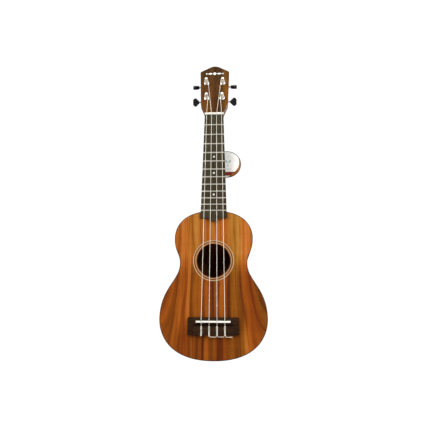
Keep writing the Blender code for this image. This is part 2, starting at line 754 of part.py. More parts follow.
def make_tuner_plate(name, location):
    """A pressed plate with two ears that carry the worm shaft."""
    half = TUNER_PLATE_HALF_WIDTH
    corners = [(-half, -0.0115), (half, -0.0115), (half, 0.0150), (-half, 0.0150)]
    hole = circle((0.0, 0.0), POST_RADIUS + GAP, 20)
    plate = extruded(
        name, [rounded(corners, 0.0030, 3), hole], -TUNER_PLATE_THICKNESS, 0.0, head, location[:2])
    plate.location = location
    shaft_height = WORM_AXIS - location[2]
    for side in (-1, 1):
        start = side * EAR_INNER_FACE
        end = side * (EAR_INNER_FACE + EAR_THICKNESS)
        ear = box(
            name + "_ear", plate,
            (min(start, end), WORM_SPACING - EAR_HALF_LENGTH, shaft_height - 0.0028),
            (max(start, end), WORM_SPACING + EAR_HALF_LENGTH, -TUNER_PLATE_THICKNESS / 2.0))
        boolean(plate, ear, 'UNION')
    bore = rod(
        name + "_shaft_bore", plate, SHAFT_RADIUS + GAP, 0.03,
        (0.0, WORM_SPACING, shaft_height), (0.0, math.pi / 2.0, 0.0), 16)
    boolean(plate, bore, 'DIFFERENCE')
    finish(plate, "nickel_plate")


def make_worm_shaft(name, frame):
    """The shaft along the frame's x axis, with the worm in the middle of it."""
    inner_end = EAR_INNER_FACE + EAR_THICKNESS + 0.0006
    profile = [
        (0.0, BUTTON_START + 0.0075), (SHAFT_RADIUS, BUTTON_START + 0.0075),
        (SHAFT_RADIUS, 0.0044), (WORM_CORE, 0.0040), (WORM_CORE, -0.0040),
        (SHAFT_RADIUS, -0.0044), (SHAFT_RADIUS, -inner_end), (0.0, -inner_end)]
    shaft = turned(name, profile, frame, (0.0, 0.0, 0.0), 12)
    shaft.rotation_euler = (0.0, math.pi / 2.0, 0.0)
    steps = int(WORM_TURNS * 9)
    rings = []
    for i in range(steps + 1):
        turn = WORM_TURNS * (i / steps - 0.5)
        fade = min(1.0, 5.0 * (0.5 - abs(i / steps - 0.5)) + 0.25)
        crest = WORM_CORE + (WORM_RADIUS - WORM_CORE) * fade
        angle = math.pi + 2.0 * math.pi * turn
        ring = []
        for radius, offset in ((WORM_CORE - 0.0003, -0.00047), (crest, -0.0002),
                               (crest, 0.0002), (WORM_CORE - 0.0003, 0.00047)):
            x = WORM_PITCH * turn + offset
            ring.append((x, radius * math.cos(angle), radius * math.sin(angle)))
        rings.append(ring)
    boolean(shaft, loft(name + "_thread", rings, frame), 'UNION')
    finish(shaft, "steel")


def make_button(name, frame, turn):
    """A flat knob for finger and thumb, widest near its outer end."""
    start = BUTTON_START
    end = BUTTON_START + BUTTON_LENGTH
    half = [
        (start, 0.0026), (start + 0.0016, 0.0034), (start + 0.0046, 0.0066), (start + 0.0066, 0.0075),
        (start + 0.0088, 0.0073), (end, 0.0046)]
    outline = half + [(x, -y) for x, y in reversed(half)]
    button = extruded(
        name, [rounded(outline, 0.0014, 2)], -BUTTON_THICKNESS / 2.0, BUTTON_THICKNESS / 2.0, frame)
    button.rotation_euler = (turn, 0.0, 0.0)
    soften(button, 0.0013, 1)
    socket = rod(
        name + "_socket", button, SHAFT_RADIUS + GAP, 0.0160, (start, 0.0, 0.0),
        (0.0, math.pi / 2.0, 0.0), 16)
    boolean(button, socket, 'DIFFERENCE')
    finish(button, "black_plastic", 50.0)


# ---------------------------------------------------------------- strings
def string_x(number, spread):
    return spread * (number / 3.0 - 0.5)


def string_post(number):
    """The post that a string winds on, and its side: the outer strings take the lower posts."""
    side = -1 if number < 2 else 1
    return (LOWER_POST if number in (0, 3) else UPPER_POST), side


def wrap_start(number):
    """Where a string first touches its post, in the headstock's frame."""
    (post_x, post_y), side = string_post(number)
    reach = POST_WAIST + GAP + STRING_RADIUS
    return side * (post_x - reach), post_y, 0.0076


def head_point(x, y, z):
    """A point of the headstock's frame on the bench."""
    cosine = math.cos(HEAD_TILT)
    sine = math.sin(HEAD_TILT)
    return Vector((x, y * cosine + z * sine, HEAD_FACE_AT_NUT - y * sine + z * cosine))


def make_string(number, name):
    """A string from its winding on the post, over the nut and saddle, to its knot at the bridge."""
    (post_x, post_y), side = string_post(number)
    reach = POST_WAIST + GAP + STRING_RADIUS
    turns = 2.1
    steps = 19
    route = []
    for i in range(steps, -1, -1):
        turn = 2.0 * math.pi * turns * i / steps
        x = side * post_x - side * reach * math.cos(turn)
        y = post_y + reach * math.sin(turn)
        route.append(head_point(x, y, 0.0076 - 0.00115 * turns * i / steps))
    nut_x = string_x(number, NUT_STRING_SPREAD)
    x = string_x(number, SADDLE_STRING_SPREAD)
    lift = TIE_BLOCK_HEIGHT + STRING_RADIUS + GAP
    rear = BRIDGE_BACK - 0.0011
    route += [
        Vector((nut_x, NUT_FRONT, STRING_HEIGHT_AT_NUT)),
        Vector((x, BRIDGE_LINE + 0.0003, STRING_HEIGHT_AT_SADDLE)),
        Vector((x, BRIDGE_LINE - 0.0012, STRING_HEIGHT_AT_SADDLE - 0.0005)),
        Vector((x, TIE_BLOCK_FRONT + 0.0015, TIE_HOLE_HEIGHT + 0.0008)),
        Vector((x, TIE_BLOCK_FRONT + 0.0003, TIE_HOLE_HEIGHT + 0.0001)),
        Vector((x, BRIDGE_BACK + 0.0010, TIE_HOLE_HEIGHT)),
        Vector((x - 0.0001, rear + 0.0004, TIE_HOLE_HEIGHT + 0.0003)),
        Vector((x - 0.0003, rear - 0.0001, TIE_HOLE_HEIGHT + 0.0014)),
        Vector((x - 0.0005, rear + 0.0004, lift - 0.0006)),
        Vector((x - 0.0006, BRIDGE_BACK + 0.0010, lift + 0.0001)),
        Vector((x - 0.0008, TIE_BLOCK_FRONT - 0.0008, lift)),
        Vector((x - 0.0006, TIE_BLOCK_FRONT + 0.0006, lift + 0.0003)),
        Vector((x + 0.0002, TIE_BLOCK_FRONT + 0.0012, lift + 0.0005)),
        Vector((x + 0.0008, TIE_BLOCK_FRONT + 0.0006, lift + 0.0003)),
        Vector((x + 0.0009, TIE_BLOCK_FRONT - 0.0008, lift)),
        Vector((x + 0.0008, BRIDGE_BACK + 0.0010, lift + 0.0001)),
        Vector((x + 0.0009, BRIDGE_BACK - 0.0006, lift - 0.0002)),
    ]
    if number > 0:
        route += [
            Vector((x + 0.0013, BRIDGE_BACK - 0.0018, lift - 0.0009)),
            Vector((x + 0.0024, BRIDGE_BACK - 0.0023, lift - 0.0018)),
            Vector((x + 0.0048, BRIDGE_BACK - 0.0024, lift - 0.0024)),
            Vector((x + 0.0110, BRIDGE_BACK - 0.0023, lift - 0.0028)),
        ]
    tube(name, route, STRING_RADIUS, bench, "nylon")


# ---------------------------------------------------------------- hang tag
def make_hang_tag():
    """A round card, hung flat behind the neck, with its punched hole behind the neck too."""
    x, y = TAG_CENTRE
    front = -neck_depth(y - TAG_RADIUS) - GAP
    hole = circle((-TAG_RADIUS + 0.0045, 0.0), 0.0017, 12)
    tag = extruded(
        "hang_tag", [circle((0.0, 0.0), TAG_RADIUS, 40), hole], -TAG_THICKNESS, 0.0, bench)
    tag.location = (x, y, front)
    finish(tag, "card")


# ---------------------------------------------------------------- assembly
clear_scene()
parts = make_collection("ukulele")
tools = make_collection("cutters")
MATERIALS = {
    "koa": make_material("koa_soundboard", (0.45, 0.18, 0.045), 0.25),
    "koa_back": make_material("koa_back", (0.40, 0.16, 0.045), 0.28),
    "koa_side": make_material("koa_side", (0.38, 0.15, 0.040), 0.28),
    "spruce": make_material("spruce", (0.62, 0.46, 0.27), 0.7),
    "rosewood": make_material("rosewood_fretboard", (0.055, 0.042, 0.032), 0.5),
    "rosewood_bridge": make_material("rosewood_bridge", (0.050, 0.028, 0.018), 0.5),
    "rosewood_head": make_material("rosewood_headstock", (0.16, 0.06, 0.025), 0.3),
    "mahogany": make_material("mahogany_neck", (0.24, 0.085, 0.035), 0.35),
    "nickel": make_material("nickel_fret_wire", (0.75, 0.73, 0.68), 0.25, 1.0),
    "nickel_plate": make_material("nickel_plated_steel", (0.70, 0.69, 0.66), 0.25, 1.0),
    "chrome": make_material("chrome_plating", (0.82, 0.82, 0.82), 0.08, 1.0),
    "steel": make_material("steel", (0.62, 0.62, 0.62), 0.3, 1.0),
    "brass": make_material("brass", (0.70, 0.48, 0.18), 0.3, 1.0),
    "bone": make_material("bone", (0.86, 0.82, 0.72), 0.4),
    "nylon": make_material("nylon_string", (0.80, 0.76, 0.66), 0.3),
    "black_plastic": make_material("black_plastic", (0.010, 0.010, 0.011), 0.2),
    "card": make_material("card", (0.80, 0.80, 0.78), 0.6),
}

bench = make_frame("bench", rotation=(math.pi / 2.0, 0.0, 0.0))
head = make_frame(
    "headstock_frame", bench, (0.0, 0.0, HEAD_FACE_AT_NUT), (-HEAD_TILT, 0.0, 0.0))

make_body()
make_fretboard()
make_frets()
make_nut()
make_bridge()
make_saddle()
make_neck()
make_overlay()
make_tuner("upper_left", -1, *UPPER_POST, UPPER_BUTTON_TURN)
make_tuner("upper_right", 1, *UPPER_POST, UPPER_BUTTON_TURN)
make_tuner("lower_left", -1, *LOWER_POST, LOWER_BUTTON_TURN)
make_tuner("lower_right", 1, *LOWER_POST, LOWER_BUTTON_TURN)
for number, note in enumerate(("g", "c", "e", "a")):
    make_string(number, note + "_string")
make_hang_tag()
bpy.context.view_layer.update()
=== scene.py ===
"""Looks of the soprano ukulele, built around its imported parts.

Everything is in metres, in the parts' own frame: +X to the right, +Z along the neck towards the
headstock, and the soundboard faces -Y.  Shapes are drawn lying on the back, as on a bench: x
across, y along the neck, z towards the strings.  BENCH and HEAD carry them into the frame.
"""
import math

import bmesh
import bpy
from mathutils import Matrix, Vector


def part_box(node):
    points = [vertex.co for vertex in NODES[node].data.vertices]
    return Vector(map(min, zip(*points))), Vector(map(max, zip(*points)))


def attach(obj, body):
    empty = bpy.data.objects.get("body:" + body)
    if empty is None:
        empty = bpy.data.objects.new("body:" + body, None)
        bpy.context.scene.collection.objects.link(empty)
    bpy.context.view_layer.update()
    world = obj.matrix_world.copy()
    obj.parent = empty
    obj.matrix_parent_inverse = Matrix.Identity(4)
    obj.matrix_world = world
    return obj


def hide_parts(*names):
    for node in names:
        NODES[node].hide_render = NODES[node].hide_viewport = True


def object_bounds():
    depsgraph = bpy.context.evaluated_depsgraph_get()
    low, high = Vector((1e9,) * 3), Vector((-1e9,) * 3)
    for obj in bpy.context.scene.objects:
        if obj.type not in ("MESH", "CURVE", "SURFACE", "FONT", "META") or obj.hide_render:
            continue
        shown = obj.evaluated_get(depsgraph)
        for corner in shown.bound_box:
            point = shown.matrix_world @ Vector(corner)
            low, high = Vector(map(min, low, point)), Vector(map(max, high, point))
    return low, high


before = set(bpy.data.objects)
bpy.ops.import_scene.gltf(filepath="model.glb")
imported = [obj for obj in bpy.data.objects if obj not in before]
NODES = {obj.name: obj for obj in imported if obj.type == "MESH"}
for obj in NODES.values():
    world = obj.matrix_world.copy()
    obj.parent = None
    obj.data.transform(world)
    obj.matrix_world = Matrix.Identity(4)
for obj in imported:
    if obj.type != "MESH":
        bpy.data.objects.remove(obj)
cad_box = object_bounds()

BODY = "instrument"
SIDES = ((-1, "left"), (1, "right"))
GAP = 0.0003

HEAD_TILT = math.radians(12.0)
HEAD_FACE_AT_NUT = 0.0022
BENCH = Matrix.Rotation(math.pi / 2.0, 4, 'X')
HEAD_ON_BENCH = Matrix.Translation((0.0, 0.0, HEAD_FACE_AT_NUT)) @ Matrix.Rotation(-HEAD_TILT, 4, 'X')
HEAD = BENCH @ HEAD_ON_BENCH


# ---- materials
class Finish:
    """A material built node by node on the object's own coordinates, which are metres."""

    def __init__(self, name, **values):
        self.material = bpy.data.materials.new(name)
        self.material.use_nodes = True
        self.tree = self.material.node_tree
        self.shader = self.tree.nodes["Principled BSDF"]
        self.place = self.add("TexCoord", {}).outputs["Object"]
        for socket, value in values.items():
            self.shader.inputs[socket.replace("_", " ")].default_value = value

    def add(self, kind, sockets, **settings):
        node = self.tree.nodes.new("ShaderNode" + kind)
        for key, value in settings.items():
            setattr(node, key, value)
        for key, value in sockets.items():
            self.feed(node.inputs[key], value)
        return node

    def feed(self, socket, value):
        if isinstance(value, bpy.types.NodeSocket):
            self.tree.links.new(value, socket)
        elif isinstance(value, tuple) and len(value) == 3 and socket.type == 'RGBA':
            socket.default_value = (*value, 1.0)
        else:
            socket.default_value = value

    def out(self, socket, value):
        self.feed(self.shader.inputs[socket], value)

    def math(self, operation, a, b=0.0, c=0.0, clamp=False):
        sockets = {0: a, 1: b, 2: c}
        return self.add("Math", sockets, operation=operation, use_clamp=clamp).outputs[0]

    def axes(self, place=None):
        return self.add("SeparateXYZ", {0: place or self.place}).outputs

    def vector(self, x, y, z):
        return self.add("CombineXYZ", {0: x, 1: y, 2: z}).outputs[0]

    def noise(self, scale, detail=3.0, roughness=0.5, distortion=0.0, place=None, offset=(0, 0, 0)):
        """Noise from 0 to 1, with scale features per metre along all axes or along each."""
        each = scale if isinstance(scale, tuple) else (scale,) * 3
        sockets = {"Vector": place or self.place, "Scale": each, "Location": offset}
        spread = self.add("Mapping", sockets).outputs[0]
        sockets = {"Vector": spread, "Scale": 1.0, "Detail": detail, "Roughness": roughness,
                   "Distortion": distortion}
        return self.add("TexNoise", sockets).outputs["Fac"]

    def between(self, value, low, high, start=0.0, end=1.0):
        """A value from start to end, while the input goes from low to high."""
        sockets = {"Value": value, "From Min": low, "From Max": high, "To Min": start, "To Max": end}
        return self.add("MapRange", sockets, interpolation_type='SMOOTHSTEP').outputs["Result"]

    def ramp(self, value, stops):
        """Colours, or greys given as plain numbers, at their positions."""
        node = self.add("ValToRGB", {"Fac": value})
        elements = node.color_ramp.elements
        while len(elements) < len(stops):
            elements.new(0.5)
        for element, (position, colour) in zip(elements, stops):
            element.position = position
            shade = (colour,) * 3 if isinstance(colour, float) else colour
            element.color = (*shade, 1.0)
        return node.outputs["Color"]

    def mix(self, share, a, b, blend='MIX'):
        sockets = {0: share, 6: a, 7: b}
        return self.add("Mix", sockets, data_type='RGBA', blend_type=blend).outputs[2]

    def grey(self, colour):
        return self.add("RGBToBW", {0: colour}).outputs[0]

    def bump(self, height, distance, strength=1.0):
        sockets = {"Height": height, "Distance": distance, "Strength": strength}
        return self.add("Bump", sockets).outputs["Normal"]


# each wood's colours, from its darkest tone at 0 to its lightest at 1
KOA = [
    (0.0, (0.06, 0.012, 0.002)), (0.22, (0.125, 0.027, 0.003)), (0.42, (0.2, 0.05, 0.004)),
    (0.6, (0.29, 0.083, 0.007)), (0.78, (0.385, 0.13, 0.018)), (1.0, (0.48, 0.195, 0.044))]
MAHOGANY = [
    (0.0, (0.06, 0.016, 0.005)), (0.35, (0.12, 0.034, 0.01)), (0.65, (0.18, 0.056, 0.018)),
    (1.0, (0.27, 0.098, 0.038))]
ROSEWOOD = [
    (0.0, (0.01, 0.007, 0.004)), (0.35, (0.034, 0.024, 0.013)), (0.65, (0.066, 0.052, 0.03)),
    (1.0, (0.14, 0.112, 0.066))]
BRIDGE_WOOD = [
    (0.0, (0.006, 0.003, 0.001)), (0.4, (0.024, 0.009, 0.002)), (0.7, (0.052, 0.022, 0.006)),
    (1.0, (0.11, 0.056, 0.022))]
HEAD_WOOD = [
    (0.0, (0.034, 0.016, 0.006)), (0.3, (0.08, 0.034, 0.01)), (0.5, (0.12, 0.044, 0.01)),
    (0.75, (0.2, 0.062, 0.006)), (1.0, (0.33, 0.11, 0.012))]
# the wood inside the box: a mid brown, kept dark so the box reads dark through the soundhole, partly
# painted shade
INSIDE_WOOD_AND_SHADE = [
    (0.0, (0.11, 0.055, 0.026)), (0.5, (0.2, 0.115, 0.055)), (1.0, (0.3, 0.19, 0.1))]

PORES = 1900.0  # pores per metre across the grain
COAT_ROUGHNESS = 0.12
RED_TINT = (1.1, 0.9, 0.88)
GREEN_TINT = (0.93, 1.08, 0.92)


def wood(name, palette, tone, along='Z', bands=34.0, grain=420.0, contrast=1.0, roughness=0.38,
         coat=0.3, gloss=0.2, relief=0.00004, lean=None):
    """Wood whose grain runs along one axis, or round the rib; bands and grain are lines per metre.

    tone(finish, place) gives its broad pattern, from 0 to 1; lean(finish, x, z) may slant the grain.
    """
    made = Finish(
        name, Roughness=roughness, Specular_IOR_Level=gloss, Coat_Weight=coat,
        Coat_Roughness=COAT_ROUGHNESS)

    def stretch(across, length):
        """Features per metre along x, y and z, for so many across and so many along the grain."""
        return (across if along == 'Z' else length, across, across if along == 'X' else length)

    sway = made.noise(stretch(9.0, 5.0), 2.0)
    shift = made.math('MULTIPLY_ADD', sway, 0.016, -0.008)
    x, y, z = made.axes()
    if along == 'RIB':
        place = made.vector(x, made.math('ADD', y, shift), z)
    elif along == 'X':
        place = made.vector(x, made.math('ADD', y, shift), made.math('ADD', z, shift))
    else:
        straight = lean(made, x, z) if lean else x
        place = made.vector(made.math('ADD', straight, shift), y, z)
    broad = made.noise(stretch(bands, bands * 0.05), 2.0, 0.55, place=place)
    medium = made.noise(stretch(bands * 4.2, bands * 0.17), 3.0, 0.6, place=place, offset=(3.1, 1.7, 0.4))
    fine = made.noise(stretch(grain, grain * 0.03), 3.0, 0.65, place=place)
    lines = made.noise(stretch(bands * 2.6, bands * 0.09), 2.0, 0.5, place=place, offset=(7.3, 0.0, 2.2))
    from_line = made.math('ABSOLUTE', made.math('SUBTRACT', lines, 0.5))
    dark_lines = made.between(from_line, 0.0, 0.035, 1.0, 0.0)
    curl = made.noise(stretch(22.0, 150.0), 2.0, 0.5, 0.6)
    pore = made.between(made.noise(stretch(PORES, PORES * 0.055), 1.0, 0.5), 0.66, 0.74)

    level = tone(made, place)
    for part, weight in ((broad, 0.42), (medium, 0.46), (fine, 0.3), (curl, 0.1)):
        offset = made.math('SUBTRACT', part, 0.5)
        level = made.math('MULTIPLY_ADD', offset, weight * contrast, level)
    level = made.math('MULTIPLY_ADD', dark_lines, -0.15 * contrast, level)
    level = made.math('MULTIPLY_ADD', pore, -0.16 * contrast, level, clamp=True)
    hue = made.noise(stretch(bands * 1.6, bands * 0.06), 2.0, place=place, offset=(1.9, 5.0, 3.3))
    tint = made.mix(made.between(hue, 0.36, 0.64), RED_TINT, GREEN_TINT)
    made.out("Base Color", made.mix(1.0, made.ramp(level, palette), tint, 'MULTIPLY'))
    rough = made.math('MULTIPLY_ADD', fine, 0.16, roughness - 0.08)
    made.out("Roughness", made.math('MULTIPLY_ADD', pore, 0.2, rough, clamp=True))
    height = made.math('MULTIPLY_ADD', pore, -0.8, made.math('MULTIPLY', fine, 0.6))
    orange_peel = made.noise(260.0, 2.0)
    made.out("Normal", made.bump(height, relief))
    made.out("Coat Normal", made.bump(orange_peel, 0.00003, 0.5))
    return made.material


def even(level):
    return lambda made, place: level


SPREAD = 0.34  # how far the grain leans out at the widest place, as a share of x
HALF_WIDTH = 0.084
STREAKED_WIDTH = 0.17

# streaks across the soundboard: (place in mm from the centre line, tone)
# the upper bout's tones run lighter than the rest: partly golden wood, partly a painted highlight of the
# light from above
UPPER_STREAKS_AND_HIGHLIGHT = [
    (-64, 0.6), (-57, 0.8), (-54, 0.62), (-50, 0.8), (-43, 0.84), (-36, 0.78), (-33, 0.58),
    (-30, 0.8), (-24, 0.84), (-19, 0.66), (-14, 0.74), (-10, 0.56), (-7, 0.52), (-3, 0.72), (0, 0.76),
    (4, 0.58), (8, 0.74), (14, 0.76), (19, 0.62), (24, 0.8), (30, 0.86), (33, 0.68), (38, 0.86),
    (45, 0.88), (48, 0.6), (52, 0.84), (58, 0.8), (64, 0.62)]
LOWER_STREAKS = [
    (-66, 0.34), (-59, 0.52), (-55, 0.4), (-51, 0.58), (-46, 0.64), (-42, 0.52), (-37, 0.7),
    (-34.5, 0.6), (-32.5, 0.14), (-30, 0.5), (-26, 0.56), (-21, 0.6), (-17, 0.54), (-14, 0.22),
    (-11, 0.54), (-6, 0.48), (-2, 0.26), (1, 0.14), (4, 0.44), (8, 0.2), (11, 0.62), (16, 0.6),
    (21, 0.44), (24, 0.2), (28, 0.48), (35, 0.46), (42, 0.34), (47, 0.46), (52, 0.36), (56, 0.3),
    (60, 0.44), (66, 0.28)]
TAIL_STREAKS = [
    (-58, 0.5), (-50, 0.58), (-45, 0.4), (-40, 0.48), (-34, 0.14), (-31, 0.44), (-27, 0.4),
    (-24, 0.12), (-21, 0.42), (-17, 0.32), (-14.5, 0.04), (-12, 0.44), (-7, 0.36), (-3, 0.16),
    (0, 0.4), (4, 0.44), (6.5, 0.04), (9, 0.18), (12, 0.12), (15, 0.44), (22, 0.54), (29, 0.5),
    (33, 0.3), (38, 0.5), (43, 0.68), (47, 0.66), (50, 0.4), (58, 0.5)]


def top_lean(made, x, z):
    """The grain spreads with the lower bout, the more so the nearer it is to the edge."""
    share = made.between(z, -0.395, -0.265, SPREAD, 0.0)
    cube = made.math('MULTIPLY', made.math('MULTIPLY', x, x), x)
    lean = made.math('MULTIPLY', cube, made.math('DIVIDE', share, HALF_WIDTH ** 2))
    return made.math('SUBTRACT', x, lean)


def top_tone(made, place):
    """The soundboard's figure: a lighter upper bout, partly golden wood and partly a painted highlight of
    the light from above, redder wood below it, and heartwood streaks.
    """
    x, y, z = made.axes(place)
    share = made.math('MULTIPLY_ADD', x, 1.0 / STREAKED_WIDTH, 0.5)
    upper, lower, tail = (
        made.ramp(share, [(0.5 + mm * 0.001 / STREAKED_WIDTH, tone) for mm, tone in streaks])
        for streaks in (UPPER_STREAKS_AND_HIGHLIGHT, LOWER_STREAKS, TAIL_STREAKS))
    # the lighter upper bout above the waist is partly a painted highlight
    level = made.mix(made.between(z, -0.245, -0.29), upper, lower)
    return made.grey(made.mix(made.between(z, -0.345, -0.385), level, tail))


def mirrored_tone(made, place):
    """Two leaves of one board, opened like a book along the centre line."""
    x, y, z = made.axes(place)
    across = made.math('ABSOLUTE', x)
    spread = made.noise((55.0, 0.0, 3.0), 3.0, 0.6, place=made.vector(across, 0.0, z))
    seam = made.between(across, 0.0, 0.0008, -0.3, 0.0)
    return made.math('ADD', made.math('MULTIPLY_ADD', spread, 0.9, 0.02), seam)


HEAD_WIDTH = 0.056


def head_tone(made, place):
    """The headstock's face: dark in the middle, orange along the right side, lighter low on the left."""
    x, y, z = made.axes(place)
    share = made.math('MULTIPLY_ADD', x, 1.0 / HEAD_WIDTH, 0.5)
    level = made.ramp(share, [
        (0.0, 0.3), (0.08, 0.4), (0.16, 0.3), (0.24, 0.44), (0.3, 0.26), (0.38, 0.52), (0.44, 0.34),
        (0.52, 0.2), (0.6, 0.32), (0.68, 0.22), (0.76, 0.44), (0.84, 0.72), (0.92, 0.62), (1.0, 0.78)])
    high = made.between(z, 0.06, 0.1, 0.0, -0.16)
    low_left = made.math(
        'MULTIPLY', made.between(z, 0.05, 0.015), made.between(x, 0.004, -0.016, 0.0, 0.22))
    return made.math('ADD', made.math('ADD', made.grey(level), high), low_left)


def metal(name, colour, roughness, brushed=0.0, wear=0.08):
    """Plated or polished metal, with fine polishing marks and duller patches."""
    made = Finish(name, Metallic=1.0)
    patches = made.noise(160.0, 3.0)
    marks = made.noise((2600.0, 2600.0, 260.0), 2.0)
    dull = tuple(channel * 0.86 for channel in colour)
    made.out("Base Color", made.mix(made.between(patches, 0.35, 0.75), colour, dull))
    rough = made.math('MULTIPLY_ADD', patches, wear, roughness - wear / 2.0)
    made.out("Roughness", made.math('MULTIPLY_ADD', marks, brushed, rough, clamp=True))
    made.out("Normal", made.bump(marks, 0.000006, 0.35))
    return made.material


def moulded(name, light, dark, roughness, subsurface=0.0, coat=0.0, gloss=0.5):
    """Plastic, bone or nylon: a faint mottle, and a surface that isn't perfectly even."""
    made = Finish(
        name, Subsurface_Weight=subsurface, Subsurface_Scale=0.0015, Coat_Weight=coat,
        Specular_IOR_Level=gloss)
    mottle = made.noise(140.0, 4.0, 0.6)
    made.out("Base Color", made.ramp(made.between(mottle, 0.3, 0.7), [(0.0, dark), (1.0, light)]))
    grain = made.noise(900.0, 3.0)
    made.out("Roughness", made.math('MULTIPLY_ADD', grain, 0.18, roughness - 0.09, clamp=True))
    made.out("Normal", made.bump(grain, 0.00001, 0.6))
    return made.material


def card_stock(name, light, dark, fibre=1400.0):
    """Printed card: matt, with paper fibres."""
    made = Finish(name, Roughness=0.6, Specular_IOR_Level=0.15)
    fibres = made.noise((fibre, fibre, fibre * 0.3), 4.0, 0.7)
    cloud = made.noise(60.0, 3.0)
    share = made.math('MULTIPLY_ADD', cloud, 0.6, made.math('MULTIPLY', fibres, 0.4))
    made.out("Base Color", made.ramp(made.between(share, 0.35, 0.65), [(0.0, dark), (1.0, light)]))
    made.out("Roughness", made.math('MULTIPLY_ADD', fibres, 0.2, 0.45))
    made.out("Normal", made.bump(fibres, 0.00002, 0.5))
    return made.material


LOOK_TABLE = (  # (name, kind, colours and the like, settings)
    ("koa_top", wood, (KOA, top_tone), dict(
        bands=30.0, contrast=1.15, gloss=0.12, coat=0.2, lean=top_lean)),
    ("koa_side", wood, (KOA, even(0.42)), dict(along='RIB', bands=46.0)),
    ("koa_back", wood, (KOA, mirrored_tone), dict(bands=30.0, contrast=0.7)),
    ("rosette_wood", wood, (KOA, even(0.5)), dict(bands=160.0)),
    ("inner_wood", wood, (INSIDE_WOOD_AND_SHADE, even(0.5)), dict(contrast=0.8, roughness=0.6, coat=0.0)),
    ("inner_wood_across", wood, (INSIDE_WOOD_AND_SHADE, even(0.5)), dict(
        along='X', contrast=0.8, roughness=0.6, coat=0.0)),
    ("fretboard_wood", wood, (ROSEWOOD, even(0.46)), dict(
        bands=120.0, grain=900.0, contrast=1.3, roughness=0.48, coat=0.0, gloss=0.15, relief=0.00008)),
    ("bridge_wood", wood, (BRIDGE_WOOD, even(0.36)), dict(
        along='X', bands=110.0, grain=900.0, contrast=1.2, roughness=0.46, coat=0.0, gloss=0.15,
        relief=0.00008)),
    ("binding", wood, (BRIDGE_WOOD, even(0.56)), dict(bands=90.0, contrast=0.8, coat=0.0, gloss=0.0)),
    ("overlay_wood", wood, (HEAD_WOOD, head_tone), dict(bands=60.0, coat=0.0, gloss=0.03)),
    ("neck_wood", wood, (MAHOGANY, even(0.34)), dict(bands=50.0, roughness=0.46, coat=0.0, gloss=0.05)),
    ("fret_wire", metal, ((0.66, 0.63, 0.55), 0.42), {}),
    ("tuner_plate", metal, ((0.7, 0.68, 0.64), 0.22, 0.08), {}),
    ("chrome", metal, ((0.98, 0.95, 0.88), 0.3), dict(wear=0.05)),
    ("steel", metal, ((0.55, 0.54, 0.52), 0.3, 0.1), {}),
    ("brass", metal, ((0.72, 0.5, 0.2), 0.28, 0.1), {}),
    ("bone", moulded, ((0.93, 0.91, 0.84), (0.86, 0.83, 0.74), 0.35), dict(subsurface=0.1)),
    ("nylon", moulded, ((0.9, 0.86, 0.76), (0.84, 0.8, 0.68), 0.28), {}),
    ("black_plastic", moulded, ((0.008, 0.008, 0.009), (0.004, 0.004, 0.005), 0.3), dict(gloss=0.25)),
    ("white_line", moulded, ((0.54, 0.42, 0.26), (0.44, 0.33, 0.19), 0.4), dict(gloss=0.15)),
    ("dark_line", moulded, ((0.03, 0.016, 0.01), (0.016, 0.008, 0.005), 0.35), {}),
    ("pearl", moulded, ((0.84, 0.83, 0.78), (0.66, 0.69, 0.66), 0.22), dict(coat=0.3)),
    ("card", card_stock, ((0.96, 0.96, 0.93), (0.92, 0.92, 0.88)), {}),
    ("tag_brown", card_stock, ((0.07, 0.026, 0.016), (0.035, 0.013, 0.009)), {}),
    ("tag_orange", card_stock, ((0.46, 0.145, 0.02), (0.11, 0.028, 0.008)), dict(fibre=260.0)),
    ("tag_red", card_stock, ((0.26, 0.034, 0.018), (0.19, 0.024, 0.014)), {}),
    ("tag_green", card_stock, ((0.52, 0.66, 0.56), (0.42, 0.58, 0.48)), {}),
    ("tag_grey", card_stock, ((0.62, 0.64, 0.6), (0.52, 0.54, 0.5)), {}))
LOOKS = {look: make(look + "_look", *colours, **more) for look, make, colours, more in LOOK_TABLE}


# ---- shapes
SHARP = math.radians(32.0)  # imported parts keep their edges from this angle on


def smooth_group():
    """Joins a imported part's faces again and smooths its rounds, leaving its edges sharp."""
    group = bpy.data.node_groups.new("smooth_rounds", 'GeometryNodeTree')
    group.interface.new_socket("Geometry", in_out='INPUT', socket_type='NodeSocketGeometry')
    group.interface.new_socket("Geometry", in_out='OUTPUT', socket_type='NodeSocketGeometry')
    start, plain, weld, faces, edges, end = (group.nodes.new(kind) for kind in (
        "NodeGroupInput", "GeometryNodeRemoveAttribute", "GeometryNodeMergeByDistance",
        "GeometryNodeSetShadeSmooth", "GeometryNodeSetShadeSmooth", "NodeGroupOutput"))
    plain.inputs["Name"].default_value = "custom_normal"
    weld.inputs["Distance"].default_value = 0.00001
    edges.domain = 'EDGE'
    angle = group.nodes.new("GeometryNodeInputMeshEdgeAngle")
    limit = group.nodes.new("FunctionNodeCompare")
    limit.data_type = 'FLOAT'
    limit.operation = 'LESS_THAN'
    limit.inputs[1].default_value = SHARP
    link = group.links.new
    for near, far in ((start, plain), (plain, weld), (weld, faces), (faces, edges), (edges, end)):
        link(near.outputs[0], far.inputs[0])
    link(angle.outputs["Unsigned Angle"], limit.inputs[0])
    link(limit.outputs[0], edges.inputs["Shade Smooth"])
    return group


SMOOTH = smooth_group()


def soften(thing, width, segments=3, angle=SHARP):
    bevel = thing.modifiers.new("Edges", 'BEVEL')
    bevel.width = width
    bevel.segments = segments
    bevel.limit_method = 'ANGLE'
    bevel.angle_limit = angle
    bevel.harden_normals = True
    bevel.use_clamp_overlap = True


def dress(node, look, edge=0.0):
    """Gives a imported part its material, smooth rounds and softened edges."""
    part = NODES[node]
    for holder in part.material_slots:
        holder.material = LOOKS[look]
    part.modifiers.new("Smooth", 'NODES').node_group = SMOOTH
    if edge:
        soften(part, edge)


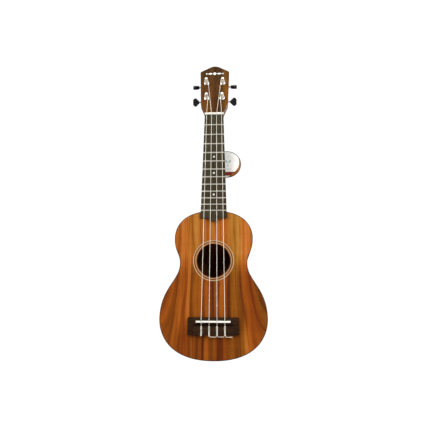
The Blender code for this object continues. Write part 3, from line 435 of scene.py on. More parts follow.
def show(name, data):
    """A new object in the scene."""
    thing = bpy.data.objects.new(name, data)
    bpy.context.scene.collection.objects.link(thing)
    return thing


def solid(name, bm, place, material):
    """A new object from a mesh drawn in bench, headstock or other local coordinates."""
    bmesh.ops.recalc_face_normals(bm, faces=bm.faces)
    bm.transform(place)
    mesh = bpy.data.meshes.new(name)
    bm.to_mesh(mesh)
    bm.free()
    mesh.materials.append(material)
    return show(name, mesh)


def shade(mesh, angle):
    mesh.shade_smooth()
    mesh.set_sharp_from_angle(angle=math.radians(angle))


def piece(name, bm, look, body=BODY, place=BENCH, replaces=None, angle=35.0):
    """A solid with its look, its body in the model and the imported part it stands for."""
    made = solid(name, bm, place, LOOKS[look])
    shade(made.data, angle)
    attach(made, body)
    if replaces:
        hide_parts(replaces)
    return made


def join_rows(bm, near, far):
    """A belt of faces between two closed rows of vertices."""
    for i in range(len(near)):
        j = (i + 1) % len(near)
        bm.faces.new((near[i], near[j], far[j], far[i]))


def skin(rings, closed_loop=False):
    """A mesh over rings of equally many points, with its ends closed or joined to each other."""
    bm = bmesh.new()
    rows = [[bm.verts.new(point) for point in ring] for ring in rings]
    for near, far in zip(rows, rows[1:]):
        join_rows(bm, near, far)
    if closed_loop:
        join_rows(bm, rows[-1], rows[0])
    else:
        bm.faces.new(rows[0])
        bm.faces.new(rows[-1])
    return bm


def around(sides):
    """The cosine and sine of each step round a circle."""
    angles = [2.0 * math.pi * i / sides for i in range(sides)]
    return [(math.cos(a), math.sin(a)) for a in angles]


def circle_points(radius, sides, centre=(0.0, 0.0)):
    return [(centre[0] + radius * c, centre[1] + radius * s) for c, s in around(sides)]


def spun(section, sides, centre=(0.0, 0.0)):
    """A (radius, height) line at each step round a circle."""
    return [[(centre[0] + r * c, centre[1] + r * s, z) for r, z in section] for c, s in around(sides)]


def ring_about(centre, side, across, radius, sides):
    return [centre + (side * c + across * s) * radius for c, s in around(sides)]


def slab(outline, low, high):
    """A flat outline given a thickness."""
    return skin([[(x, y, z) for x, y in outline] for z in (low, high)])


def rounded_line(corners, steps):
    """An open line through (x, y, radius) corners, each rounded by its own radius."""
    points = [Vector(corner[:2]) for corner in corners]
    line = [points[0]]
    for i in range(1, len(points) - 1):
        before, corner, after = points[i - 1:i + 2]
        reach = min(corners[i][2], (before - corner).length * 0.48, (after - corner).length * 0.48)
        first = corner + (before - corner).normalized() * reach
        last = corner + (after - corner).normalized() * reach
        for k in range(steps + 1):
            t = k / steps
            line.append(first * (1 - t) ** 2 + corner * 2 * t * (1 - t) + last * t ** 2)
    return line + [points[-1]]


def turned(profile, sides=64):
    """A solid of revolution about z from a (radius, height) line that starts and ends on the axis."""
    bm = bmesh.new()
    tips = {}
    grid = []
    for column in spun(profile, sides):
        row = []
        for k, point in enumerate(column):
            if k not in (0, len(profile) - 1):
                row.append(bm.verts.new(point))
                continue
            if k not in tips:
                tips[k] = bm.verts.new(point)
            row.append(tips[k])
        grid.append(row)
    for near, far in zip(grid, grid[1:] + grid[:1]):
        for k in range(len(profile) - 1):
            bm.faces.new(dict.fromkeys((near[k], near[k + 1], far[k + 1], far[k])))
    return bm


def tube_along(path, radius, sides):
    """A round cord along points, closed with small domes."""
    last = len(path) - 1
    tangents = [(path[min(i + 1, last)] - path[max(i - 1, 0)]).normalized() for i in range(last + 1)]
    side = tangents[0].orthogonal().normalized()
    rings = []
    stations = [(0, -0.8, 0.45), (0, -0.45, 0.8)]
    stations += [(i, 0.0, 1.0) for i in range(last + 1)]
    stations += [(last, 0.45, 0.8), (last, 0.8, 0.45)]
    for i, ahead, share in stations:
        tangent = tangents[i]
        side = (side - tangent * side.dot(tangent)).normalized()
        centre = path[i] + tangent * ahead * radius
        rings.append(ring_about(centre, side, tangent.cross(side), radius * share, sides))
    return skin(rings)


def flowing(points, step):
    """Points about every step along a smooth curve through the given points."""
    knots = [Vector(p) for p in points]
    fine = []
    for i in range(len(knots) - 1):
        p0, p1, p2 = knots[max(i - 1, 0)], knots[i], knots[i + 1]
        p3 = knots[min(i + 2, len(knots) - 1)]
        length = (p2 - p1).length
        parts = max(1, int(length / step))
        t1 = (p2 - p0) * (length / max((p2 - p0).length, 1e-9))
        t2 = (p3 - p1) * (length / max((p3 - p1).length, 1e-9))
        for k in range(parts):
            t = k / parts
            h1, h2 = 2 * t ** 3 - 3 * t ** 2 + 1, t ** 3 - 2 * t ** 2 + t
            h3, h4 = -2 * t ** 3 + 3 * t ** 2, t ** 3 - t ** 2
            fine.append(p1 * h1 + t1 * h2 + p2 * h3 + t2 * h4)
    fine.append(knots[-1])
    return fine


# ---- outlines and plates
def bezier(knots, steps):
    """Points along the curve with these two ends and, between them, their handles."""
    points = []
    for i in range(steps + 1):
        t = i / steps
        shares = ((1 - t) ** 3, 3 * t * (1 - t) ** 2, 3 * t * t * (1 - t), t ** 3)
        points.append(tuple(sum(w * k[axis] for w, k in zip(shares, knots)) for axis in (0, 1)))
    return points


def mirrored(half):
    """Close an outline from its right half, listed from the top to the bottom."""
    left = [(-x, y) for x, y in reversed(half) if abs(x) > 1e-6]
    return list(half) + left


def area(loop):
    pairs = zip(loop, loop[1:] + loop[:1])
    return sum(x0 * y1 - x1 * y0 for (x0, y0), (x1, y1) in pairs) / 2.0


def inset(loop, distance):
    """The outline moved to its left by a distance: inwards, where it runs anticlockwise."""
    moved = []
    count = len(loop)
    for i in range(count):
        here = Vector(loop[i])
        before = (here - Vector(loop[i - 1])).normalized()
        after = (Vector(loop[(i + 1) % count]) - here).normalized()
        left = Vector((-before.y - after.y, before.x + after.x)).normalized()
        stretch = max(0.4, left.dot(Vector((-before.y, before.x))))
        moved.append(tuple(here + left * distance / stretch))
    return moved


def plate(loops, low, high, edge):
    """A flat board with rounded edges: the first loop is its outline, the others are holes."""
    turns = [math.pi / 6.0 * k for k in range(4)]
    profile = [(edge * (1 - math.sin(a)), low + edge * (1 - math.cos(a))) for a in turns]
    profile += [(edge * (1 - math.cos(a)), high - edge * (1 - math.sin(a))) for a in turns]
    bm = bmesh.new()
    rims = ([], [])
    for number, loop in enumerate(loops):
        turn = area(loop) > 0.0
        ordered = list(loop) if turn == (number == 0) else list(reversed(loop))
        rows = []
        for distance, height in profile:
            rows.append([bm.verts.new((x, y, height)) for x, y in inset(ordered, distance)])
        for near, far in zip(rows, rows[1:]):
            join_rows(bm, near, far)
        for rim, row in zip(rims, (rows[0], rows[-1])):
            rim += [bm.edges.get(pair) for pair in zip(row, row[1:] + row[:1])]
    for rim in rims:
        bmesh.ops.triangle_fill(bm, use_beauty=True, edges=rim)
    return bm


def carve(thing, cutter, place=BENCH, operation='DIFFERENCE'):
    """Cuts or joins a mesh into a piece, for good."""
    tool = solid("cutter", cutter, place, thing.data.materials[0])
    step = thing.modifiers.new("Cut", 'BOOLEAN')
    step.operation = operation
    step.solver = 'EXACT'
    step.object = tool
    graph = bpy.context.evaluated_depsgraph_get()
    cut = bpy.data.meshes.new_from_object(thing.evaluated_get(graph))
    thing.modifiers.remove(step)
    bpy.data.objects.remove(tool)
    thing.data = cut
    shade(cut, 35.0)


def rod(radius, start, end):
    """A plain round bar between two points, for cutting holes."""
    start, end = Vector(start), Vector(end)
    along = (end - start).normalized()
    side = along.orthogonal().normalized()
    return skin([ring_about(centre, side, along.cross(side), radius, 32) for centre in (start, end)])


# ---- the sound box
BODY_TOP = -0.1785
BODY_BOTTOM = -0.413
TOP_HANDLE = 0.059
BOTTOM_HANDLE = 0.072
UPPER_BOUT = (0.0635, -0.2235, 0.01, 0.024)
WAIST = (0.054, -0.266, 0.0165, 0.0275)
LOWER_BOUT = (0.084, -0.351, 0.0475, 0.02)
OUTLINE_STEPS = 36
PLATE_THICKNESS = 0.0022
RIB_THICKNESS = 0.002
RIB_FRONT = -PLATE_THICKNESS - GAP
RIB_BACK = RIB_FRONT - 0.058
BACK_FACE = RIB_BACK - GAP - PLATE_THICKNESS
BINDING_WIDTH = 0.001
FRONT_EDGE = 0.0002  # how far each board's edges are rounded
BINDING_EDGE = 0.0003
BACK_EDGE = 0.0008
SOUNDHOLE_CENTRE = -0.261
SOUNDHOLE_RADIUS = 0.027
ROSETTE_DEPTH = 0.0006
INLAY_PROUD = 0.00005  # how far inlays stand above the wood
ROSETTE = (  # (name, inner radius, outer radius, look, slot)
    ("rosette_inner_edge", 0.028, 0.0282, "dark_line", "bridge_wood"),
    ("rosette_inner_line", 0.0282, 0.029, "white_line", "bone"),
    ("rosette_band", 0.029, 0.03165, "rosette_wood", "koa_top"),
    ("rosette_outer_line", 0.03165, 0.03285, "white_line", "bone"),
    ("rosette_outer_edge", 0.03285, 0.03305, "dark_line", "bridge_wood"))


def body_half():
    """The right half of the outline; each bout and the waist has its handles above and below."""
    half = []
    start = (0.0, BODY_TOP)
    handle = (TOP_HANDLE, BODY_TOP)
    for width, place, handle_up, handle_down in (UPPER_BOUT, WAIST, LOWER_BOUT):
        half += bezier((start, handle, (width, place + handle_up), (width, place)), OUTLINE_STEPS)[:-1]
        start = (width, place)
        handle = (width, place - handle_down)
    return half + bezier((start, handle, (BOTTOM_HANDLE, BODY_BOTTOM), (0.0, BODY_BOTTOM)), OUTLINE_STEPS)


OUTLINE = list(reversed(mirrored(body_half())))
HOLE = circle_points(SOUNDHOLE_RADIUS, 120, (0.0, SOUNDHOLE_CENTRE))


def build_sound_box():
    front = inset(OUTLINE, BINDING_WIDTH)
    piece("soundboard_face", plate([front, HOLE], -PLATE_THICKNESS, 0.0, FRONT_EDGE),
          "koa_top", replaces="soundboard", angle=12.0)
    piece("front_binding", plate([OUTLINE, front], -PLATE_THICKNESS, 0.0, BINDING_EDGE),
          "binding", angle=12.0)
    piece("back_face", plate([OUTLINE], BACK_FACE, RIB_BACK - GAP, BACK_EDGE),
          "koa_back", replaces="back_plate", angle=12.0)
    seam = GAP / 2.0
    middle = (BODY_TOP + BODY_BOTTOM) / 2.0
    for side, name in ((1, "right"), (-1, "left")):
        outside = [(max(x, seam) * side, y) for x, y in body_half()]
        inside = [(x, y) for x, y in inset(OUTLINE, RIB_THICKNESS) if x * side > seam]
        inside.sort(key=lambda p: -math.atan2(p[0] * side, p[1] - middle))
        inside.insert(0, (seam * side, BODY_BOTTOM + RIB_THICKNESS))
        inside.append((seam * side, BODY_TOP - RIB_THICKNESS))
        piece("side_" + name, slab(outside + inside, RIB_BACK, RIB_FRONT), "koa_side",
              replaces="rib_" + name, angle=30.0)


def build_rosette():
    """Rings let into the soundboard round its hole, standing a hair proud of it."""
    for name, inner, outer, look, slot in ROSETTE:
        section = [(inner, -ROSETTE_DEPTH), (outer, -ROSETTE_DEPTH),
                   (outer, INLAY_PROUD), (inner, INLAY_PROUD)]
        band = spun(section, 128, (0.0, SOUNDHOLE_CENTRE))
        piece(name, skin(band, closed_loop=True), look)


# ---- neck, fretboard and headstock
SCALE_LENGTH = 0.35
NUT_FRONT = -0.004
BOARD_THICKNESS = 0.0042
FRET_COUNT = 12
FRET_SEAT = 0.00012  # how far the crown stands off the board
CROWN_HALF_WIDTH = 0.001
CROWN_HEIGHT = 0.00078
TANG_HALF_WIDTH = 0.00025
TANG_DEPTH = 0.0012
FILED_ENDS = ((0.0, 0.35), (0.00015, 0.62), (0.0004, 0.85), (0.0009, 1.0))  # (from the end, height)
DOT_FRETS = (5, 7, 10)
DOT_RADIUS = 0.0017
DOT_DEPTH = 0.0012
OVERLAY_THICKNESS = 0.002
OVERLAY_EDGE = 0.0004
HEAD_BACK = -0.013
HEAD_APEX = 0.115
HEAD_EDGE = [  # (half width, distance from the nut)
    (0.0163, 0.0006), (0.0186, 0.0075), (0.0243, 0.0225), (0.0253, 0.05), (0.0271, 0.1)]
LOWER_POST = (0.014, 0.0354)
UPPER_POST = (0.015, 0.0723)
BUSHING_SLEEVE = 0.004


def fret_place(number):
    return NUT_FRONT - SCALE_LENGTH * (1.0 - 2.0 ** (-number / 12.0))


def build_frets():
    """Crowned wire across the board, its ends filed to a slope, with its tang in the slot."""
    crown = [(CROWN_HALF_WIDTH * math.cos(a), CROWN_HEIGHT * math.sin(a))
             for a in (math.pi * i / 20.0 for i in range(21))]
    tang = [(-TANG_HALF_WIDTH, FRET_SEAT), (-TANG_HALF_WIDTH, -TANG_DEPTH),
            (TANG_HALF_WIDTH, -TANG_DEPTH), (TANG_HALF_WIDTH, FRET_SEAT)]
    for number in range(1, FRET_COUNT + 1):
        node = "fret_%02d" % number
        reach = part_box(node)[1].x
        stations = [(back - reach, share) for back, share in FILED_ENDS]
        stations += [(reach - back, share) for back, share in reversed(FILED_ENDS)]
        loops = [[(x, y, FRET_SEAT + z * share) for y, z in crown] + [(x, y, z) for y, z in tang]
                 for x, share in stations]
        place = BENCH @ Matrix.Translation((0.0, fret_place(number), BOARD_THICKNESS))
        piece("fret_wire_%02d" % number, skin(loops), "fret_wire", place=place,
              replaces=node, angle=40.0)


def build_dots():
    profile = [
        (0.0, -DOT_DEPTH), (DOT_RADIUS, -DOT_DEPTH), (DOT_RADIUS, 0.00003),
        (DOT_RADIUS - 0.00015, 0.00007), (0.0, 0.0001)]
    for number in DOT_FRETS:
        middle = (fret_place(number) + fret_place(number - 1)) / 2.0
        place = BENCH @ Matrix.Translation((0.0, middle, BOARD_THICKNESS))
        piece("position_dot_%02d" % number, turned(profile, 48), "pearl", place=place)


def head_outline():
    """The headstock's outline: flared sides and a low gabled top with a rounded peak."""
    half = bezier((
        (0.0, HEAD_APEX), (0.004, HEAD_APEX), (0.006, HEAD_APEX - 0.001),
        (0.0095, HEAD_APEX - 0.0031)), 10)
    width, level = HEAD_EDGE[-1]
    half.append((width - 0.0007, level + 0.0014))
    half += reversed(HEAD_EDGE)
    return list(reversed(mirrored(half)))


def post_places():
    """Each tuner's name, side and place on the headstock."""
    for level, (x, y) in (("upper", UPPER_POST), ("lower", LOWER_POST)):
        for side, hand in SIDES:
            yield level + "_" + hand, side, side * x, y


def build_headstock_face():
    holes = [circle_points(BUSHING_SLEEVE + GAP, 48, (x, y)) for name, side, x, y in post_places()]
    piece("headstock_face", plate([head_outline()] + holes, -OVERLAY_THICKNESS, 0.0, OVERLAY_EDGE),
          "overlay_wood", place=HEAD, replaces="headstock_overlay", angle=12.0)


def lens(centre, length, width):
    """A pointed oval along x."""
    cx, cy = centre
    shares = [i / 12.0 for i in range(13)]
    top = [(cx + length * (t - 0.5), cy + width / 2.0 * math.sin(math.pi * t)) for t in shares]
    return top + [(x, 2.0 * cy - y) for x, y in reversed(top[1:-1])]


def lozenge(x, y, half_width, half_height):
    return [(x - half_width, y), (x, y - half_height), (x + half_width, y), (x, y + half_height)]


def bar(half_length, half_width, y=0.0):
    return [(-half_length, y - half_width), (half_length, y - half_width),
            (half_length, y + half_width), (-half_length, y + half_width)]


def build_headstock_inlay():
    """A plain pearl inlay: a lozenge between leaves, and a small lozenge at each end."""
    level = 0.096
    shapes = [("lozenge", lozenge(0.0, level, 0.0038, 0.004))]
    for side, hand in SIDES:
        shapes.append(("leaf_" + hand, lens((side * 0.0086, level), 0.009, 0.0046)))
        shapes.append(("end_" + hand, lozenge(side * 0.0153, level, 0.0018, 0.0021)))
    for name, outline in shapes:
        piece("head_inlay_" + name, slab(outline, -0.0008, INLAY_PROUD), "pearl", place=HEAD)


# ---- tuners
POST_RADIUS = 0.003
POST_WAIST = 0.0023
POST_TOP = 0.0122
GEAR_SEAT_RADIUS = 0.0018
POST_END = 0.0028  # how far the post reaches behind the worm's axis
STRING_HOLE = (0.0009, 0.0092)  # (radius, height)
BUSHING_RADIUS = 0.005
BUSHING_FLANGE = 0.0013
BUSHING_BORE = POST_RADIUS + GAP
BUSHING_LENGTH = 0.0095
TUNER_PLATE = 0.001
SCREW_PLACES = (-0.0086, 0.0122)
SCREW_DOME = (  # (radius, height behind the plate)
    (0.0, 0.0004), (0.0018, 0.0004), (0.0019, -0.0001), (0.0015, -0.0006), (0.0008, -0.0009), (0.0, -0.001))
SLOT_HALF_LENGTH = 0.0011
SLOT_HALF_WIDTH = 0.0002
WORM_SPACING = 0.0062
WORM_AXIS = -0.017
WORM_CORE = 0.00125
WORM_RADIUS = 0.0023
WORM_TURNS = 2.8
WORM_HALF_LENGTH = 0.004
WORM_PITCH = 2.0 * math.pi * 0.0043 / 14  # of the gear: its pitch radius and its teeth
THREAD_FOOT = 0.00047  # half the thread's width at its foot, and at its crest
THREAD_CREST = 0.0002
SHAFT_RADIUS = 0.0015
SHAFT_END = 0.0069
BUTTON_START = 0.0149
BUTTON_LENGTH = 0.0115
BUTTON_THICKNESS = 0.0058
UPPER_BUTTON_TURN = math.radians(-38.0)
LOWER_BUTTON_TURN = math.radians(48.0)


def build_tuner(name, x, y):
    """The bushing on the front, the post that winds the string, and the plate's two screws."""
    at_post = HEAD @ Matrix.Translation((x, y, 0.0))
    section = rounded_line([
        (BUSHING_BORE, -BUSHING_LENGTH, 0.0), (BUSHING_BORE, BUSHING_FLANGE, 0.0002),
        (BUSHING_RADIUS - 0.0009, BUSHING_FLANGE, 0.0006), (BUSHING_RADIUS, GAP + 0.0004, 0.0003),
        (BUSHING_RADIUS, GAP, 0.0001), (BUSHING_SLEEVE, GAP, 0.0001),
        (BUSHING_SLEEVE, -BUSHING_LENGTH, 0.0)], 4)
    piece(name + "_ferrule", skin(spun(section, 64), closed_loop=True), "chrome", place=at_post,
          replaces=name + "_bushing", angle=40.0)

    seat = HEAD_BACK - TUNER_PLATE - 2.0 * GAP
    end = WORM_AXIS - POST_END
    profile = rounded_line([
        (0.0, POST_TOP, 0.0), (POST_RADIUS - 0.0003, POST_TOP, 0.0012),
        (POST_RADIUS, POST_TOP - 0.0022, 0.0006), (POST_WAIST, POST_TOP - 0.0036, 0.0006),
        (POST_WAIST, 0.0036, 0.0006), (POST_RADIUS, 0.0024, 0.0004), (POST_RADIUS, seat, 0.0002),
        (GEAR_SEAT_RADIUS, seat, 0.0001), (GEAR_SEAT_RADIUS, end, 0.0003), (0.0, end, 0.0)], 5)
    post = piece(name + "_string_post", turned(profile), "chrome", body=name + "_post", place=at_post,
                 replaces=name + "_post", angle=40.0)
    radius, height = STRING_HOLE
    carve(post, rod(radius, (0.0, -0.01, height), (0.0, 0.01, height)), at_post)

    plate_back = HEAD_BACK - GAP - TUNER_PLATE
    for number, place in enumerate(SCREW_PLACES):
        at_screw = HEAD @ Matrix.Translation((x, y + place, plate_back))
        screw = piece("%s_screw_%d" % (name, number + 1), turned(SCREW_DOME, 40), "tuner_plate",
                      place=at_screw)
        turn = 0.6 + 1.1 * number + x * 40.0
        for quarter in (0.0, math.pi / 2.0):
            slot = slab(bar(SLOT_HALF_LENGTH, SLOT_HALF_WIDTH), -0.002, -0.0004)
            carve(screw, slot, at_screw @ Matrix.Rotation(turn + quarter, 4, 'Z'))


def build_knob(name, side, x, y):
    """The worm on its shaft, and the button that turns it."""
    flip = 0.0 if side > 0 else math.pi
    at_worm = HEAD @ Matrix.Translation((x, y + WORM_SPACING, WORM_AXIS)) @ Matrix.Rotation(flip, 4, 'Y')
    outer_end = BUTTON_START + 0.0075
    neck = WORM_HALF_LENGTH + 0.0004
    profile = rounded_line([
        (0.0, outer_end, 0.0), (SHAFT_RADIUS, outer_end, 0.0002), (SHAFT_RADIUS, neck, 0.0002),
        (WORM_CORE, WORM_HALF_LENGTH, 0.0), (WORM_CORE, -WORM_HALF_LENGTH, 0.0),
        (SHAFT_RADIUS, -neck, 0.0002), (SHAFT_RADIUS, -SHAFT_END, 0.0003), (0.0, -SHAFT_END, 0.0)], 3)
    along = at_worm @ Matrix.Rotation(math.pi / 2.0, 4, 'Y')
    shaft = piece(name + "_worm", turned(profile, 40), "steel", body=name + "_knob", place=along,
                  replaces=name + "_worm_shaft", angle=35.0)
    steps = int(WORM_TURNS * 36)
    foot = WORM_CORE - 0.0003
    rings = []
    for i in range(steps + 1):
        turn = WORM_TURNS * (i / steps - 0.5)
        fade = min(1.0, 5.0 * (0.5 - abs(i / steps - 0.5)) + 0.25)
        crest = WORM_CORE + (WORM_RADIUS - WORM_CORE) * fade
        angle = math.pi + 2.0 * math.pi * turn
        rings.append([
            (WORM_PITCH * turn + offset, radius * math.cos(angle), radius * math.sin(angle))
            for radius, offset in ((foot, -THREAD_FOOT), (crest, -THREAD_CREST),
                                   (crest, THREAD_CREST), (foot, THREAD_FOOT))])
    carve(shaft, skin(rings), at_worm, 'UNION')

    turn = (UPPER_BUTTON_TURN if name.startswith("upper") else LOWER_BUTTON_TURN) * side
    start, end = BUTTON_START, BUTTON_START + BUTTON_LENGTH
    half = [
        (start, 0.0026), (start + 0.0016, 0.0034), (start + 0.0046, 0.0066), (start + 0.0066, 0.0075),
        (start + 0.0088, 0.0073), (end, 0.0046)]
    corners = [(px, py, 0.0013) for px, py in half + [(px, -py) for px, py in reversed(half)]]
    outline = rounded_line([corners[-1]] + corners + [corners[0]], 4)[1:-1]
    at_button = at_worm @ Matrix.Rotation(turn, 4, 'X')
    button = piece(
        name + "_grip", slab(outline, -BUTTON_THICKNESS / 2.0, BUTTON_THICKNESS / 2.0),
        "black_plastic", body=name + "_knob", place=at_button, replaces=name + "_button", angle=50.0)
    socket = rod(SHAFT_RADIUS + GAP, (start - 0.01, 0.0, 0.0), (start + 0.008, 0.0, 0.0))
    carve(button, socket, at_button)
    soften(button, 0.0012, 5, math.radians(60.0))


# ---- strings
STRING_RADIUS = 0.00038
BRIDGE_LINE = NUT_FRONT - SCALE_LENGTH - 0.0017
BRIDGE_BACK = -0.3755
TIE_FRONT = -0.3632  # the tie block's front edge, its top and its holes' height
TIE_TOP = 0.0068
TIE_HOLE = 0.0038
NUT_HEIGHT = 0.0062  # of the strings' centre lines
SADDLE_HEIGHT = 0.0098
NUT_SPREAD = 0.0262
SADDLE_SPREAD = 0.0362
WINDING_TURNS = 2.1
WINDING_TOP = 0.0076
WINDING_PITCH = 0.00115


def build_string(number, note):
    """A string from its winding on the post, over the nut and saddle, to its knot at the bridge."""
    post_x, post_y = LOWER_POST if number in (0, 3) else UPPER_POST
    side = -1 if number < 2 else 1
    reach = POST_WAIST + GAP + STRING_RADIUS
    steps = 100
    winding = []
    for i in range(steps, -1, -1):
        turns = WINDING_TURNS * i / steps
        angle = 2.0 * math.pi * turns
        winding.append(HEAD_ON_BENCH @ Vector((
            side * (post_x - reach * math.cos(angle)), post_y + reach * math.sin(angle),
            WINDING_TOP - WINDING_PITCH * turns)))
    nut_x = NUT_SPREAD * (number / 3.0 - 0.5)
    x = SADDLE_SPREAD * (number / 3.0 - 0.5)
    lift = TIE_TOP + STRING_RADIUS + GAP
    rear = BRIDGE_BACK - 0.0011
    knot = [
        (x, BRIDGE_LINE + 0.0003, SADDLE_HEIGHT),
        (x, BRIDGE_LINE - 0.0012, SADDLE_HEIGHT - 0.0005),
        (x, TIE_FRONT + 0.0015, TIE_HOLE + 0.0008),
        (x, TIE_FRONT + 0.0003, TIE_HOLE + 0.0001),
        (x, BRIDGE_BACK + 0.001, TIE_HOLE),
        (x - 0.0001, rear + 0.0004, TIE_HOLE + 0.0003),
        (x - 0.0003, rear - 0.0001, TIE_HOLE + 0.0014),
        (x - 0.0005, rear + 0.0004, lift - 0.0006),
        (x - 0.0006, BRIDGE_BACK + 0.001, lift + 0.0001),
        (x - 0.0008, TIE_FRONT - 0.0008, lift),
        (x - 0.0006, TIE_FRONT + 0.0006, lift + 0.0003),
        (x + 0.0002, TIE_FRONT + 0.0012, lift + 0.0005),
        (x + 0.0008, TIE_FRONT + 0.0006, lift + 0.0003),
        (x + 0.0009, TIE_FRONT - 0.0008, lift),
        (x + 0.0008, BRIDGE_BACK + 0.001, lift + 0.0001),
        (x + 0.0009, BRIDGE_BACK - 0.0006, lift - 0.0002)]
    if number > 0:
        knot += [
            (x + 0.0013, BRIDGE_BACK - 0.0018, lift - 0.0009),
            (x + 0.0024, BRIDGE_BACK - 0.0023, lift - 0.0018),
            (x + 0.0048, BRIDGE_BACK - 0.0024, lift - 0.0024),
            (x + 0.011, BRIDGE_BACK - 0.0023, lift - 0.0028)]
    nut = Vector((nut_x, NUT_FRONT, NUT_HEIGHT))
    saddle = Vector(knot[0])
    bend = [winding[-1].lerp(nut, t) for t in (0.33, 0.66, 0.97)]
    route = winding + bend + [nut] + [nut.lerp(saddle, t) for t in (0.005, 0.25, 0.5, 0.75, 0.995)]
    route += flowing(knot, 0.0004)
    piece(note + "_line", tube_along(route, STRING_RADIUS, 14), "nylon", replaces=note + "_string",
          angle=60.0)


# ---- hang tag
TAG_CENTRE = (0.0221, -0.0898)
TAG_RADIUS = 0.0246
TAG_THICKNESS = 0.001
TAG_FRONT = -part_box("hang_tag")[0].y
TAG_RIM = 0.0234
TAG_SIDES = 160
FIRST_PRINT = 0.00003  # heights of the printed layers, one over the other
SECOND_PRINT = 0.00006
THIRD_PRINT = 0.00009


def cut_disc(centre, radius, low, high):
    """A disc's outline, kept within the tag's rim and between two levels."""
    outline = []
    middle = Vector((centre[0], max(low + 0.0005, min(high - 0.0005, centre[1]))))
    for c, s in around(TAG_SIDES):
        direction = Vector((c, s))
        reach = 1.0
        for other, size in ((Vector(centre), radius), (Vector((0.0, 0.0)), TAG_RIM)):
            offset = middle - other
            along = direction.dot(offset)
            inside = max(along ** 2 - offset.length_squared + size ** 2, 0.0)
            reach = min(reach, math.sqrt(inside) - along)
        if abs(s) > 1e-6:
            reach = min(reach, ((high if s > 0.0 else low) - middle.y) / s)
        outline.append(middle + direction * reach)
    return outline


def arc_band(inner, outer, start, end, steps=40):
    """A curved line between two radii and two angles in degrees."""
    angles = [math.radians(start + (end - start) * i / steps) for i in range(steps + 1)]
    sides = [[(r * math.cos(a), r * math.sin(a)) for a in angles] for r in (outer, inner)]
    return sides[0] + sides[1][::-1]


def leaf(x, y, angle, length):
    """A leaf that grows from one place at an angle."""
    turn = Matrix.Rotation(angle, 2)
    return [Vector((x, y)) + turn @ Vector(p) for p in lens((length * 0.55, 0.0), length, length * 0.42)]


def build_tag():
    """A round card: a white face with a plain leaf mark, a red band and an orange margin."""
    at = BENCH @ Matrix.Translation((*TAG_CENTRE, TAG_FRONT))
    hole = circle_points(0.0017, 32, (-TAG_RADIUS + 0.0045, 0.0))
    disc = plate([circle_points(TAG_RADIUS, TAG_SIDES), hole], -TAG_THICKNESS, 0.0, 0.00015)
    piece("tag_disc", disc, "tag_brown", place=at, replaces="hang_tag", angle=20.0)
    band = [(-0.015, -0.0147), (-0.0112, -0.0207), (0.0066, -0.0207), (0.0094, -0.0178), (0.008, -0.0147)]
    for name, outline, height, look in (
            ("margin", cut_disc((0.004, -0.004), 0.0225, -0.0213, 0.0105), FIRST_PRINT, "tag_orange"),
            ("foot", cut_disc((-0.005, 0.0), 0.024, -0.024, -0.0213), FIRST_PRINT, "card"),
            ("panel", cut_disc((-0.0034, 0.004), 0.0248, -0.0141, 0.024), SECOND_PRINT, "card"),
            ("band", band, SECOND_PRINT, "tag_red"),
            ("arc", arc_band(0.01475, 0.01525, 15.0, 88.0), THIRD_PRINT, "tag_grey"),
            ("leaf_left", leaf(0.001, 0.002, 2.2, 0.008), THIRD_PRINT, "tag_green"),
            ("leaf_right", leaf(0.0022, 0.002, 0.9, 0.008), THIRD_PRINT, "tag_green"),
            ("leaf_low", leaf(0.0016, -0.0052, 1.57, 0.0056), THIRD_PRINT, "tag_green"),
            ("rule_1", bar(0.0082, 0.0003, -0.0084), THIRD_PRINT, "tag_grey"),
            ("rule_2", bar(0.0068, 0.0003, -0.0102), THIRD_PRINT, "tag_grey")):
        piece("tag_" + name, slab(outline, -0.0002, height), look, place=at)


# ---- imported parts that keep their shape
def dress_packed_parts():
    for end in ("neck_block", "tail_block"):
        dress(end, "inner_wood_across")
    for brace in ("upper_brace", "lower_brace", "back_brace"):
        dress(brace, "inner_wood_across", 0.0005)
    for side in ("left", "right"):
        for face in ("front", "back"):
            dress("%s_lining_%s" % (face, side), "inner_wood")
    dress("fretboard", "fretboard_wood", 0.0002)
    dress("nut", "bone", 0.0002)
    dress("saddle", "bone", 0.0002)
    dress("bridge", "bridge_wood", 0.00025)
    dress("neck", "neck_wood", 0.0004)
    for name, side, x, y in post_places():
        dress(name + "_plate", "tuner_plate", 0.0002)
        dress(name + "_gear", "brass", 0.00008)


build_sound_box()
build_rosette()
build_frets()
build_dots()
build_headstock_face()
build_headstock_inlay()
for name, side, x, y in post_places():
    build_tuner(name, x, y)
    build_knob(name, side, x, y)
for number, note in enumerate("gcea"):
    build_string(number, note)
build_tag()
dress_packed_parts()


# ---- stage, lights and camera
FLOOR_RADIUS = 1.05
FLOOR_DROP = 0.4
WHITE = (1.0, 1.0, 1.0, 1.0)
CAMERA_PLACE = (0.02834, -0.60549, -0.34151)
CAMERA_PITCH = math.radians(14.626)
CAMERA_YAW = math.radians(2.719)
CAMERA_ROLL = math.radians(0.277)
LENS = 31.886  # millimetres, on a 36 mm sensor


def build_stage():
    """A round pale floor, low enough to keep the instrument's shadow off it."""
    disc = bmesh.new()
    bmesh.ops.create_circle(disc, cap_ends=True, segments=96, radius=FLOOR_RADIUS)
    mesh = bpy.data.meshes.new("floor")
    disc.to_mesh(mesh)
    disc.free()
    floor = show("floor", mesh)
    floor.location = (0.0, 0.0, cad_box[0].z - FLOOR_DROP)
    made = Finish("floor_look", Roughness=0.9, Specular_IOR_Level=0.0)
    made.out("Base Color", (0.86, 0.86, 0.86))
    mesh.materials.append(made.material)


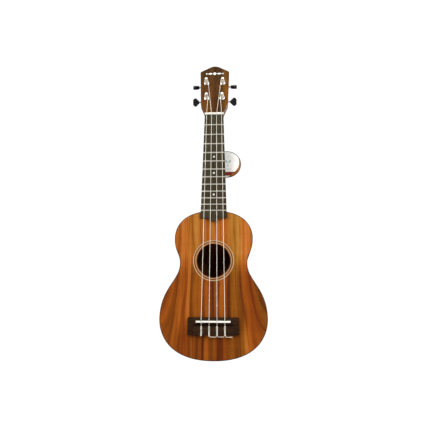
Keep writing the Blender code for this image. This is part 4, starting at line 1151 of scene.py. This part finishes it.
def build_world():
    """White behind everything; for the lighting, bright round the sides and dark in front."""
    world = bpy.data.worlds.new("studio")
    bpy.context.scene.world = world
    world.use_nodes = True
    tree = world.node_tree
    lit = tree.nodes["Background"]
    direction, parts, facing, seen, path, choose = (tree.nodes.new("ShaderNode" + kind) for kind in (
        "TexCoord", "SeparateXYZ", "MapRange", "Background", "LightPath", "MixShader"))
    facing.interpolation_type = 'SMOOTHSTEP'
    for node, socket, value in (
            (lit, "Color", WHITE), (seen, "Color", WHITE), (seen, "Strength", 1.05),
            (facing, "From Min", -0.8), (facing, "From Max", -0.25), (facing, "To Min", 0.02),
            (facing, "To Max", 0.46)):
        node.inputs[socket].default_value = value
    for output, socket in (
            (direction.outputs["Generated"], parts.inputs[0]),
            (parts.outputs["Y"], facing.inputs["Value"]),
            (facing.outputs["Result"], lit.inputs["Strength"]),
            (path.outputs["Is Camera Ray"], choose.inputs[0]),
            (lit.outputs[0], choose.inputs[1]),
            (seen.outputs[0], choose.inputs[2]),
            (choose.outputs[0], tree.nodes["World Output"].inputs["Surface"])):
        tree.links.new(output, socket)


def softbox(name, place, aim, size, power, colour=(1.0, 1.0, 1.0)):
    """A soft light of a width and height in metres and a power in watts, turned to its aim."""
    light = bpy.data.lights.new(name, 'AREA')
    light.shape = 'RECTANGLE'
    light.size, light.size_y = size
    light.energy = power
    light.color = colour
    holder = show(name, light)
    holder.location = place
    holder.rotation_euler = (Vector(aim) - Vector(place)).to_track_quat('-Z', 'Y').to_euler()


def build_camera():
    """The viewpoint: low in front of the body and looking up along the neck."""
    data = bpy.data.cameras.new("camera")
    data.sensor_width = 36.0
    data.lens = LENS
    camera = show("camera", data)
    turn = Matrix.Rotation(math.pi / 2.0 + CAMERA_PITCH, 4, 'X') @ Matrix.Rotation(CAMERA_ROLL, 4, 'Z')
    camera.matrix_world = Matrix.Translation(CAMERA_PLACE) @ Matrix.Rotation(CAMERA_YAW, 4, 'Z') @ turn
    bpy.context.scene.camera = camera


build_stage()
build_world()
softbox("key", (-1.0, -1.2, 0.7), (0.0, 0.0, -0.15), (0.9, 0.9), 25.0, (1.0, 0.98, 0.95))
softbox("fill", (1.15, -1.2, 0.4), (0.0, 0.0, -0.2), (0.9, 1.2), 22.0)
softbox("card", (0.0, -0.8, 1.35), (0.0, 0.0, 0.06), (0.9, 0.5), 2.8)
softbox("back", (0.3, 1.6, 0.8), (0.0, 0.0, -0.2), (1.6, 1.2), 24.0)
build_camera()
bpy.context.scene.view_settings.view_transform = 'Standard'
